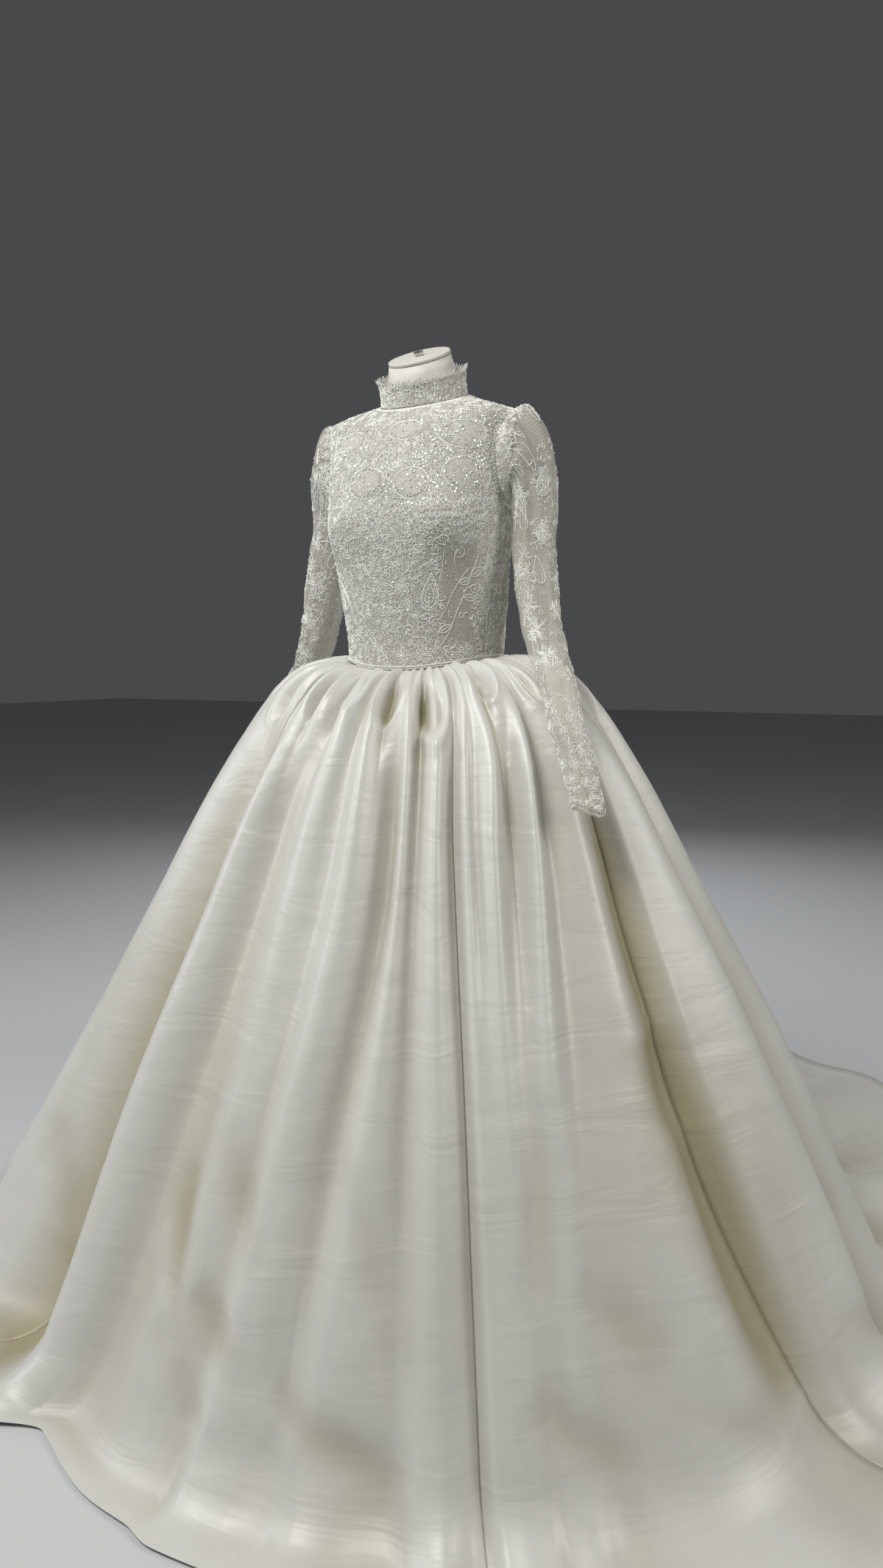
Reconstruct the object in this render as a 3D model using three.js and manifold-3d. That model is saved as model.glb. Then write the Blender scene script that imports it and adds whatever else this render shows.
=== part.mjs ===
// Wedding dress on a limbless dress form: a high-necked lace bodice with long tulle sleeves, and a gathered
// satin skirt with a train. Millimetres and degrees. +Z is up, the origin is on the floor under the form, the
// front faces -Y and +X is the wearer's left. An angle round the body is 0 at the front and grows to +X.
import * as THREE from 'three';
import { mergeVertices } from 'three/addons/utils/BufferGeometryUtils.js';
import Module from 'manifold-3d';

const wasm = await Module();
wasm.setup();

// Driving sizes.
const WAIST_HEIGHT = 1070;
const WAIST_DIP = 20; // the waist seam is this much lower at centre front
const WAIST_HALF_WIDTH = 133;
const WAIST_FRONT = 108;
const WAIST_BACK = 98;
const SEAM_GAP = 0.3; // between pieces that are sewn together
const SATIN = 1.8; // wall of the skirt
const LACE = 1.6; // wall of the lined lace bodice and collar
const TULLE = 1.2; // wall of the sleeves
const FORM_CLEARANCE = 5.4; // from the bodice's outer face in to the form

const lerp = (a, b, t) => a + (b - a) * t;
const radians = THREE.MathUtils.degToRad;
const clamp = THREE.MathUtils.clamp;

/** Smooth value at x through the knots (xs, ys), with no overshoot. */
function curveAt(x, xs, ys) {
  const last = xs.length - 1;
  if (x <= xs[0]) return ys[0];
  if (x >= xs[last]) return ys[last];
  let i = 0;
  while (x > xs[i + 1]) i += 1;
  const slope = (k) => (ys[k + 1] - ys[k]) / (xs[k + 1] - xs[k]);
  const tangent = (k) => {
    if (k === 0 || k === last) return slope(Math.min(k, last - 1));
    const before = slope(k - 1);
    const after = slope(k);
    return before * after <= 0 ? 0 : (2 * before * after) / (before + after);
  };
  const width = xs[i + 1] - xs[i];
  const t = (x - xs[i]) / width;
  const t2 = t * t;
  const t3 = t2 * t;
  return (2 * t3 - 3 * t2 + 1) * ys[i] + (t3 - 2 * t2 + t) * width * tangent(i)
    + (3 * t2 - 2 * t3) * ys[i + 1] + (t3 - t2) * width * tangent(i + 1);
}

/** Unit normals of a grid of points, facing away from the middle of each row. */
function gridNormals(grid, around) {
  const columns = grid[0].length;
  let facing = 0;
  const normals = grid.map((row, i) => {
    const middle = new THREE.Vector3();
    row.forEach((point) => middle.addScaledVector(point, 1 / columns));
    return row.map((point, j) => {
      const up = grid[Math.max(i - 1, 0)][j];
      const down = grid[Math.min(i + 1, grid.length - 1)][j];
      const before = around ? row[(j - 1 + columns) % columns] : row[Math.max(j - 1, 0)];
      const after = around ? row[(j + 1) % columns] : row[Math.min(j + 1, columns - 1)];
      const normal = after.clone().sub(before).cross(down.clone().sub(up)).normalize();
      facing += normal.dot(point.clone().sub(middle).normalize());
      return normal;
    });
  });
  return facing > 0 ? normals : normals.map((row) => row.map((normal) => normal.negate()));
}

/** The grid's points moved by a distance along their normals. */
function movedGrid(grid, normals, distance, lowest = -Infinity) {
  return grid.map((row, i) => row.map((point, j) => {
    const moved = point.clone().addScaledVector(normals[i][j], distance);
    moved.z = Math.max(moved.z, lowest);
    return moved;
  }));
}

/** A closed surface from points and triangles, turned so that its faces point out. */
function closedGeometry(points, triangles) {
  let volume = 0;
  for (const [a, b, c] of triangles) {
    volume += points[a].dot(points[b].clone().cross(points[c]));
  }
  const index = volume > 0 ? triangles.flat() : triangles.map(([a, b, c]) => [a, c, b]).flat();
  const geometry = new THREE.BufferGeometry();
  const places = points.flatMap((p) => [p.x, p.y, p.z]);
  geometry.setAttribute('position', new THREE.Float32BufferAttribute(places, 3));
  geometry.setIndex(index);
  return geometry;
}

/** A cloth wall between an outer and an inner grid. One that goes all round joins its last column and first. */
function wallGeometry(outer, inner, around = false) {
  const rows = outer.length;
  const columns = outer[0].length;
  const points = [...outer.flat(), ...inner.flat()];
  const id = (side, i, j) => side * rows * columns + i * columns + (j % columns);
  const triangles = [];
  const quad = (a, b, c, d) => triangles.push([a, b, c], [a, c, d]);
  const spans = around ? columns : columns - 1;
  for (let i = 0; i < rows - 1; i += 1) {
    for (let j = 0; j < spans; j += 1) {
      quad(id(0, i, j), id(0, i + 1, j), id(0, i + 1, j + 1), id(0, i, j + 1));
      quad(id(1, i, j), id(1, i, j + 1), id(1, i + 1, j + 1), id(1, i + 1, j));
    }
  }
  for (let j = 0; j < spans; j += 1) {
    quad(id(0, 0, j), id(0, 0, j + 1), id(1, 0, j + 1), id(1, 0, j));
    quad(id(0, rows - 1, j + 1), id(0, rows - 1, j), id(1, rows - 1, j), id(1, rows - 1, j + 1));
  }
  if (!around) {
    for (let i = 0; i < rows - 1; i += 1) {
      const end = columns - 1;
      quad(id(0, i + 1, 0), id(0, i, 0), id(1, i, 0), id(1, i + 1, 0));
      quad(id(0, i, end), id(0, i + 1, end), id(1, i + 1, end), id(1, i, end));
    }
  }
  return closedGeometry(points, triangles);
}

/** A solid through closed rings, with a flat fan at each end. */
function solidGeometry(rings) {
  const columns = rings[0].length;
  const points = rings.flat();
  const triangles = [];
  for (let i = 0; i < rings.length - 1; i += 1) {
    for (let j = 0; j < columns; j += 1) {
      const k = (j + 1) % columns;
      const [a, b, c, d] = [i * columns + j, (i + 1) * columns + j, (i + 1) * columns + k, i * columns + k];
      triangles.push([a, b, c], [a, c, d]);
    }
  }
  for (const [ring, turn] of [[0, 1], [rings.length - 1, -1]]) {
    const centre = new THREE.Vector3();
    rings[ring].forEach((p) => centre.addScaledVector(p, 1 / columns));
    points.push(centre);
    for (let j = 0; j < columns; j += 1) {
      const k = (j + 1) % columns;
      const [a, b] = turn > 0 ? [j, k] : [k, j];
      triangles.push([points.length - 1, ring * columns + a, ring * columns + b]);
    }
  }
  return closedGeometry(points, triangles);
}

function solidFrom(geometry) {
  const bare = geometry.clone();
  bare.deleteAttribute('normal');
  bare.deleteAttribute('uv');
  const merged = mergeVertices(bare, 1e-4);
  const mesh = new wasm.Mesh({
    numProp: 3,
    vertProperties: new Float32Array(merged.attributes.position.array),
    triVerts: new Uint32Array(merged.index.array),
  });
  return new wasm.Manifold(mesh);
}

function geometryFrom(solid) {
  const mesh = solid.getMesh();
  const geometry = new THREE.BufferGeometry();
  geometry.setAttribute('position', new THREE.BufferAttribute(new Float32Array(mesh.vertProperties), 3));
  geometry.setIndex(new THREE.BufferAttribute(new Uint32Array(mesh.triVerts), 1));
  return geometry;
}

// The torso that the bodice follows. Half-width, height at the side, depth and height at centre front, depth
// and height at centre back, squareness of the outline, and how far its middle lies from the form's axis.
const TORSO_COLUMNS = [
  'halfWidth', 'side', 'front', 'frontHeight', 'back', 'backHeight', 'square', 'midX', 'midY',
];
const WAIST_FRONT_HEIGHT = WAIST_HEIGHT - WAIST_DIP;
const TORSO_ROWS = [
  /* waist */
  [WAIST_HALF_WIDTH, WAIST_HEIGHT, WAIST_FRONT, WAIST_FRONT_HEIGHT, WAIST_BACK, WAIST_HEIGHT, 2, 0, 0],
  /* above waist */ [134, 1097, 108, 1084, 99, 1098, 2.05, 0, -1],
  /* ribs */ [139, 1150, 112, 1142, 103, 1152, 2.1, 0, -4],
  /* under bust */ [145, 1210, 115, 1204, 107, 1212, 2.15, -1, -9],
  /* bust */ [150, 1278, 119, 1276, 112, 1282, 2.2, -2, -13],
  /* above bust */ [151, 1335, 117, 1332, 117, 1340, 2.25, -3, -15],
  /* armpit */ [151, 1380, 107, 1376, 118, 1392, 2.3, -3, -14],
  /* chest */ [154, 1416, 95, 1408, 112, 1430, 2.3, -3, -11],
  /* shoulder point */ [161, 1448, 85, 1433, 100, 1464, 2.2, -3, -8],
  /* shoulder slope */ [134, 1464, 78, 1444, 88, 1482, 2.1, -3, -5],
  /* neck root */ [100, 1475, 73, 1452, 78, 1497, 2, -3, -3],
  /* collar seam */ [70, 1484, 71, 1458, 72, 1507, 2, -3, 0],
];
const SHOULDER_ROW = 8; // above this row the rings tilt evenly, up to the collar seam
const BUST = { angle: 33, spreadAngle: 21, height: 1276, spread: 47, depth: 17 };

/** A value of the torso's table at a row that may be a fraction. */
function torsoValue(row, column) {
  const k = TORSO_COLUMNS.indexOf(column);
  return curveAt(row, TORSO_ROWS.map((_, i) => i), TORSO_ROWS.map((values) => values[k]));
}

/** A point of the bodice's outer face at an angle round the body and a row of the torso's table. */
function torsoPoint(angle, row) {
  const value = (column) => torsoValue(row, column);
  const turn = radians(angle);
  const power = 2 / value('square');
  const across = Math.sign(Math.sin(turn)) * Math.abs(Math.sin(turn)) ** power;
  const ahead = Math.sign(Math.cos(turn)) * Math.abs(Math.cos(turn)) ** power;
  const facing = Math.cos(turn) > 0 ? ['front', 'frontHeight'] : ['back', 'backHeight'];
  const levelling = lerp(2, 1, clamp((row - SHOULDER_ROW) / 3, 0, 1));
  const height = lerp(value('side'), value(facing[1]), Math.abs(Math.cos(turn)) ** levelling);
  const rise = Math.exp(-(((height - BUST.height) / BUST.spread) ** 2));
  const cup = (middle) => BUST.depth * rise * Math.exp(-(((angle - middle) / BUST.spreadAngle) ** 2));
  const swell = cup(BUST.angle) + cup(-BUST.angle);
  return new THREE.Vector3(
    value('midX') + value('halfWidth') * across + swell * Math.sin(turn),
    value('midY') - value(facing[0]) * ahead - swell * Math.cos(turn),
    height,
  );
}

const torsoGrid = (rows, angles) => rows.map((row) => angles.map((angle) => torsoPoint(angle, row)));
const steps = (from, to, count) => Array.from({ length: count + 1 }, (_, i) => lerp(from, to, i / count));

// The armholes are cut square to X, as ellipses.
const ARMHOLE = { y: -5, z: 1380, halfWidth: 47, halfHeight: 72, inner: 112, outer: 240, sides: 28 };

function armholeCutter(side) {
  const cutter = new THREE.CylinderGeometry(1, 1, ARMHOLE.outer - ARMHOLE.inner, ARMHOLE.sides);
  cutter.rotateZ(Math.PI / 2);
  cutter.scale(1, ARMHOLE.halfWidth, ARMHOLE.halfHeight);
  cutter.translate(side * (ARMHOLE.inner + ARMHOLE.outer) / 2, ARMHOLE.y, ARMHOLE.z);
  return solidFrom(cutter);
}

// Raised lace: soft lumps where the corded flowers lie, in the outer points only.
const LACE_RELIEF = { height: 0.9, acrossDegrees: 24, downRows: 1.6 };

function laceRelief(angle, row) {
  const across = Math.cos(radians((angle * 360) / LACE_RELIEF.acrossDegrees));
  const down = Math.cos((row * 2 * Math.PI) / LACE_RELIEF.downRows);
  return LACE_RELIEF.height * Math.max(0, across * down);
}

/** A bodice panel between two angles, cut away at the armholes. */
function bodicePanel(fromAngle, toAngle, columnCount) {
  const last = TORSO_ROWS.length - 1;
  const rows = [0, 1, 2, 3, 3.6, 4.2, 5, 6, 7, 8, 9.5, last];
  const margin = 0.12;
  const angles = steps(fromAngle + margin, toAngle - margin, columnCount);
  const grid = torsoGrid(rows, angles);
  const normals = gridNormals(grid, false);
  const outer = grid.map((line, i) => line.map((point, j) => (
    point.clone().addScaledVector(normals[i][j], laceRelief(angles[j], rows[i])))));
  const inner = movedGrid(grid, normals, -LACE);
  const body = solidFrom(wallGeometry(outer, inner));
  return geometryFrom(body.subtract(armholeCutter(1)).subtract(armholeCutter(-1)));
}

// The form's hips below the waist and its neck above the collar: half-width, front, back, height, middle Y.
const HIP_ROWS = [
  [120, 80, 88, 812, 6],
  [160, 104, 116, 826, 6],
  [172, 114, 126, 876, 6],
  [168, 116, 122, 940, 6],
  [148, 108, 108, 1006, 5],
];
const NECK_ROWS = [
  [64, 65.5, 64.5, 1483, -0.5],
  [59.5, 61, 59, 1500, -1.5],
  [55, 57, 55, 1518, -5],
];
const NECK_TILT = 27; // the neck's cap and upper neck slope down to the front
const CAP = { x: -5, y: -12, z: 1547, halfWidth: 50, depth: 48, thickness: 5 };
const FORM_SIDES = 20;

function formTorso() {
  const angles = steps(-180, 180 - 360 / FORM_SIDES, FORM_SIDES);
  const ellipse = ([halfWidth, front, back, height, middle], midX, tilt) => angles.map((angle) => {
    const turn = radians(angle);
    const y = -Math.cos(turn) * (Math.cos(turn) > 0 ? front : back);
    const rise = y * Math.tan(radians(tilt));
    return new THREE.Vector3(midX + halfWidth * Math.sin(turn), middle + y, height + rise);
  });
  const rows = [0, 2, 3, 4, 5, 6, 7, 8, 9, 10, 11];
  const skin = torsoGrid(rows, angles);
  const inset = movedGrid(skin, gridNormals(skin, true), -FORM_CLEARANCE);
  const hips = HIP_ROWS.map((row) => ellipse(row, 1, 0));
  const neck = NECK_ROWS.map((row) => ellipse(row, CAP.x, NECK_TILT - 4));
  const topRow = [CAP.halfWidth, CAP.depth, CAP.depth, CAP.z - SEAM_GAP, CAP.y];
  const top = ellipse(topRow, CAP.x, NECK_TILT);
  return solidGeometry([...hips, ...inset, ...neck, top]);
}

function tiltedOnNeck(geometry, along) {
  geometry.rotateX(Math.PI / 2 + radians(NECK_TILT));
  const normal = new THREE.Vector3(0, -Math.sin(radians(NECK_TILT)), Math.cos(radians(NECK_TILT)));
  geometry.translate(CAP.x + normal.x * along, CAP.y + normal.y * along, CAP.z + normal.z * along);
  return geometry;
}

function neckCap() {
  const cap = new THREE.CylinderGeometry(1, 1, CAP.thickness, FORM_SIDES);
  cap.scale(CAP.halfWidth, 1, CAP.depth / Math.cos(radians(NECK_TILT)));
  return tiltedOnNeck(cap, CAP.thickness / 2 + SEAM_GAP);
}

const SOCKET = { radius: 8, height: 3, slotLength: 9, slotWidth: 2.6 };

/** The small metal fitting with a slot in the middle of the neck cap. */
function neckSocket() {
  const disc = new THREE.Shape();
  disc.absarc(0, 0, SOCKET.radius, 0, 2 * Math.PI);
  const slot = new THREE.Path();
  slot.moveTo(-SOCKET.slotLength / 2, -SOCKET.slotWidth / 2);
  slot.lineTo(SOCKET.slotLength / 2, -SOCKET.slotWidth / 2);
  slot.lineTo(SOCKET.slotLength / 2, SOCKET.slotWidth / 2);
  slot.lineTo(-SOCKET.slotLength / 2, SOCKET.slotWidth / 2);
  slot.closePath();
  disc.holes.push(slot);
  const how = { depth: SOCKET.height, bevelEnabled: false, curveSegments: 8 };
  const socket = new THREE.ExtrudeGeometry(disc, how);
  socket.rotateX(-Math.PI / 2);
  return tiltedOnNeck(socket, CAP.thickness + 2 * SEAM_GAP + SOCKET.height);
}

const STAND = { poleRadius: 12, baseRadius: 165, baseThickness: 12, sides: 32 };

function standBase() {
  const { baseRadius: r, baseThickness: h } = STAND;
  const edge = [[0, 0], [r - 3, 0], [r, 3], [r, h - 5], [r - 6, h], [0, h]];
  const profile = edge.map(([x, y]) => new THREE.Vector2(x, y));
  return new THREE.LatheGeometry(profile, STAND.sides).rotateX(Math.PI / 2);
}

function standPole() {
  const bottom = STAND.baseThickness + SEAM_GAP;
  const top = HIP_ROWS[0][3] - SEAM_GAP;
  const pole = new THREE.CylinderGeometry(STAND.poleRadius, STAND.poleRadius, top - bottom, 16);
  return pole.rotateX(Math.PI / 2).translate(0, 0, (top + bottom) / 2);
}

// The stand collar: height above its seam, radius across and along, tilt, and how far its middle leans back.
const COLLAR_ROWS = [
  { rise: 36, across: 70.5, along: 71, tilt: 21, back: -7 },
  { rise: 24, across: 68.5, along: 69, tilt: 20.5, back: -5 },
  { rise: 12, across: 68.5, along: 69.5, tilt: 20, back: -2.5 },
  { rise: 0.5, across: 69.5, along: 71, tilt: 19, back: 0 },
];
const COLLAR_MIDDLE = { x: -3, y: 0, z: 1483 };
const COLLAR_OPEN = 0.5; // degrees each side of centre back

function collarPoint(angle, { rise, across, along, tilt, back }) {
  const turn = radians(angle);
  const y = -Math.cos(turn) * along;
  return new THREE.Vector3(
    COLLAR_MIDDLE.x + across * Math.sin(turn),
    COLLAR_MIDDLE.y + back + y,
    COLLAR_MIDDLE.z + rise + y * Math.tan(radians(tilt)),
  );
}

function collar() {
  const angles = steps(-180 + COLLAR_OPEN, 180 - COLLAR_OPEN, 32);
  const grid = COLLAR_ROWS.map((row) => angles.map((angle) => collarPoint(angle, row)));
  return wallGeometry(grid, movedGrid(grid, gridNormals(grid, false), -LACE));
}

/** Fringe: a narrow strip round a ring of points, each span of which ends in one tapered strand. */
function fringeGeometry(ring, out, along, { strip, thickness, length, lean }, closed) {
  const count = closed ? ring.length : ring.length - 1;
  const at = (j, outward, forward) => ring[j % ring.length].clone()
    .addScaledVector(out[j % out.length], outward)
    .addScaledVector(along[j % along.length], forward);
  const points = [];
  for (let j = 0; j < ring.length; j += 1) {
    points.push(at(j, 0, 0), at(j, 0, strip), at(j, -thickness, strip), at(j, -thickness, 0));
  }
  const triangles = [];
  const quad = (a, b, c, d) => triangles.push([a, b, c], [a, c, d]);
  for (let j = 0; j < count; j += 1) {
    const a = j * 4;
    const b = ((j + 1) % ring.length) * 4;
    quad(a, b, b + 1, a + 1);
    quad(a + 2, b + 2, b + 3, a + 3);
    quad(a + 3, b + 3, b, a);
    const wobble = 0.82 + 0.18 * Math.cos(j * 2.4);
    const tip = at(j, lean * wobble, strip + length * wobble)
      .lerp(at(j + 1, lean * wobble, strip + length * wobble), 0.5 + 0.3 * Math.sin(j * 1.7));
    points.push(tip);
    const apex = points.length - 1;
    triangles.push([a + 1, b + 1, apex], [b + 1, b + 2, apex], [b + 2, a + 2, apex], [a + 2, a + 1, apex]);
  }
  if (!closed) {
    const end = (ring.length - 1) * 4;
    quad(0, 1, 2, 3);
    quad(end + 3, end + 2, end + 1, end);
  }
  return closedGeometry(points, triangles);
}

const COLLAR_FRINGE = { strip: 1.4, thickness: 1.4, length: 7, lean: 2.5, strands: 60 };

function collarFringe() {
  const angles = steps(-180 + COLLAR_OPEN, 180 - COLLAR_OPEN, COLLAR_FRINGE.strands);
  const top = COLLAR_ROWS[0];
  const ring = angles.map((angle) => collarPoint(angle, { ...top, rise: top.rise + 2 * SEAM_GAP }));
  const turns = angles.map(radians);
  const out = turns.map((turn) => new THREE.Vector3(Math.sin(turn), -Math.cos(turn), 0));
  const tilt = radians(top.tilt);
  const up = angles.map(() => new THREE.Vector3(0, -Math.sin(tilt), Math.cos(tilt)));
  return fringeGeometry(ring, out, up, COLLAR_FRINGE, false);
}

// The sleeves' middles and half-sizes from head to wrist: across is round the body, deep is away from it.
// The left one lies in front of the skirt and the right one lies behind its widest part.
const SLEEVE_COLUMNS = ['x', 'y', 'z', 'across', 'deep', 'slope'];
const LEFT_SLEEVE = [
  [172, -4, 1388, 51, 71, 8],
  [182, -2, 1372, 50, 55, 28],
  [188, 4, 1340, 44, 37, 66],
  [189, 7, 1300, 39, 35, 84],
  [191, 1, 1244, 38, 34, 84],
  [199, -8, 1188, 37, 33, 80],
  [210, -18, 1140, 35, 31, 76],
  [225, -32, 1095, 34, 29, 72],
  [245, -53, 1056, 33, 26, 66],
  [270, -85, 1018, 33, 23, 64],
  [290, -113, 978, 31, 21, 62],
  [311, -131, 937, 30, 20, 62],
  [329, -150, 897, 28, 18, 62],
  [341, -160, 868, 27, 17, 62],
];
const RIGHT_SLEEVE = [
  [-174, -4, 1388, 51, 71, 6],
  [-180, -2, 1372, 49, 50, 24],
  [-187, 6, 1340, 43, 34, 66],
  [-190, 14, 1300, 38, 33, 84],
  [-203, 22, 1244, 38, 34, 80],
  [-217, 27, 1188, 37, 33, 80],
  [-228, 32, 1140, 35, 32, 78],
  [-243, 39, 1095, 34, 30, 72],
  [-267, 53, 1056, 33, 27, 60],
  [-311, 83, 1018, 32, 24, 50],
  [-350, 107, 975, 31, 22, 48],
  [-381, 125, 930, 30, 20, 54],
  [-411, 140, 887, 28, 19, 58],
  [-428, 149, 857, 27, 18, 58],
];
const SLEEVE_SIDES = 16;
const CUFF_POINT = 24; // the cuff's point reaches this much further than its inner edge
const HEAD_NEST = 0.9; // the sleeve's seam sits this far inside the armhole's cut edge

/** X of the bodice's outer face where it passes through (y, z) on one side, found step by step. */
function bodiceSideAt(side, y, z) {
  let angle = side * 90;
  let row = 6;
  const step = 0.05;
  for (let turn = 0; turn < 30; turn += 1) {
    const here = torsoPoint(angle, row);
    const byAngle = torsoPoint(angle + step, row).sub(here).divideScalar(step);
    const byRow = torsoPoint(angle, row + step).sub(here).divideScalar(step);
    const determinant = byAngle.y * byRow.z - byAngle.z * byRow.y;
    const missY = y - here.y;
    const missZ = z - here.z;
    angle += clamp((missY * byRow.z - missZ * byRow.y) / determinant, -8, 8);
    row = clamp(row + clamp((byAngle.y * missZ - byAngle.z * missY) / determinant, -0.6, 0.6), 3, 9.5);
  }
  return torsoPoint(angle, row).x;
}

/** The rings of a sleeve from its armhole seam to its cuff, and the way that it points at its end. */
function sleeveRings(side, rows) {
  const angles = Array.from({ length: SLEEVE_SIDES }, (_, j) => (j * 360) / SLEEVE_SIDES);
  const seam = angles.map((angle) => {
    const turn = radians(angle);
    const y = ARMHOLE.y + side * (ARMHOLE.halfWidth - HEAD_NEST) * Math.cos(turn);
    const z = ARMHOLE.z + (ARMHOLE.halfHeight - HEAD_NEST) * Math.sin(turn);
    return new THREE.Vector3(bodiceSideAt(side, y, z) - side, y, z);
  });
  const rings = [seam];
  let outward;
  let along;
  rows.forEach((values, i) => {
    const row = Object.fromEntries(SLEEVE_COLUMNS.map((name, k) => [name, values[k]]));
    const round = Math.atan2(row.x, -row.y);
    const across = new THREE.Vector3(Math.cos(round), Math.sin(round), 0);
    const away = new THREE.Vector3(Math.sin(round), -Math.cos(round), 0);
    const slope = radians(row.slope);
    along = away.clone().multiplyScalar(Math.cos(slope)).add(new THREE.Vector3(0, 0, -Math.sin(slope)));
    outward = away.clone().multiplyScalar(Math.sin(slope)).add(new THREE.Vector3(0, 0, Math.cos(slope)));
    const late = clamp((i - (rows.length - 4)) / 3, 0, 1);
    rings.push(angles.map((angle) => {
      const turn = radians(angle);
      const reach = CUFF_POINT * late * Math.max(0, Math.sin(turn)) ** 1.5;
      return new THREE.Vector3(row.x, row.y, row.z)
        .addScaledVector(across, row.across * Math.cos(turn))
        .addScaledVector(outward, row.deep * Math.sin(turn))
        .addScaledVector(along, reach);
    }));
  });
  return { rings, outward, along };
}

// Three flat beaded flowers stand on each cuff, up its middle line.
const CUFF_FLOWER = { radius: 6.5, topRadius: 3.6, height: 2.4, sunk: 0.35, petals: 8, back: [6, 21, 36] };

function cuffFlower(centre, outward, along) {
  const { radius, topRadius, height, petals } = CUFF_FLOWER;
  const flower = new THREE.CylinderGeometry(topRadius, radius, 2 * height, petals);
  const acrossAxis = outward.clone().cross(along).normalize();
  const axes = new THREE.Matrix4().makeBasis(acrossAxis, outward, acrossAxis.clone().cross(outward));
  flower.applyMatrix4(axes);
  flower.translate(centre.x, centre.y, centre.z);
  return solidFrom(flower);
}

function sleeve(side, rows) {
  const { rings, outward, along } = sleeveRings(side, rows);
  const inner = movedGrid(rings, gridNormals(rings, true), -TULLE);
  let body = solidFrom(wallGeometry(rings, inner, true));
  const crest = SLEEVE_SIDES / 4;
  const tip = rings[rings.length - 1][crest];
  for (const back of CUFF_FLOWER.back) {
    const centre = tip.clone().addScaledVector(along, -back);
    centre.addScaledVector(outward, CUFF_FLOWER.height * CUFF_FLOWER.sunk);
    body = body.add(cuffFlower(centre, outward, along));
  }
  return geometryFrom(body);
}

const CUFF_FRINGE = { strip: 1.2, thickness: 1.2, length: 6, lean: 0.8, strandsPerSide: 2 };

function cuffFringe(side, rows) {
  const { rings, along } = sleeveRings(side, rows);
  const edge = rings[rings.length - 1];
  const centre = new THREE.Vector3();
  edge.forEach((p) => centre.addScaledVector(p, 1 / edge.length));
  const ring = edge.flatMap((point, j) => steps(0, 1, CUFF_FRINGE.strandsPerSide).slice(0, -1)
    .map((t) => point.clone().lerp(edge[(j + 1) % edge.length], t).addScaledVector(along, 3 * SEAM_GAP)));
  const out = ring.map((point) => {
    const away = point.clone().sub(centre);
    return away.addScaledVector(along, -away.dot(along)).normalize();
  });
  return fringeGeometry(ring, out, ring.map(() => along), CUFF_FRINGE, true);
}

// The skirt's side: drop below the waist, and how much of the way from the waist to the floor radius it is out.
const SIDE_DROP = [0, 6, 20, 50, 105, 190, 250, 376, 505, 640, 800, 905, 1000, 1070];
const SIDE_OUT = [0, 0.05, 0.118, 0.185, 0.262, 0.346, 0.396, 0.496, 0.604, 0.709, 0.82, 0.89, 0.955, 1];
// Where the fall meets the floor and where the hem lies, by angle round the body.
const FLOOR_ANGLE = [-180, -150, -120, -90, -72, -55, -40, -32, -24, 0, 30, 60, 90, 112, 135, 155, 180];
const FLOOR_RADIUS = [980, 945, 905, 860, 800, 726, 682, 658, 640, 620, 640, 702, 762, 785, 865, 945, 980];
const HEM_RADIUS = [1520, 1330, 1100, 950, 885, 800, 800, 765, 695, 700, 770, 870, 950, 1040, 1190, 1370, 1520];
const TOE_HEIGHT = 70;
const FOLD_DROP = [50, 250, 600, 1050];
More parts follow.
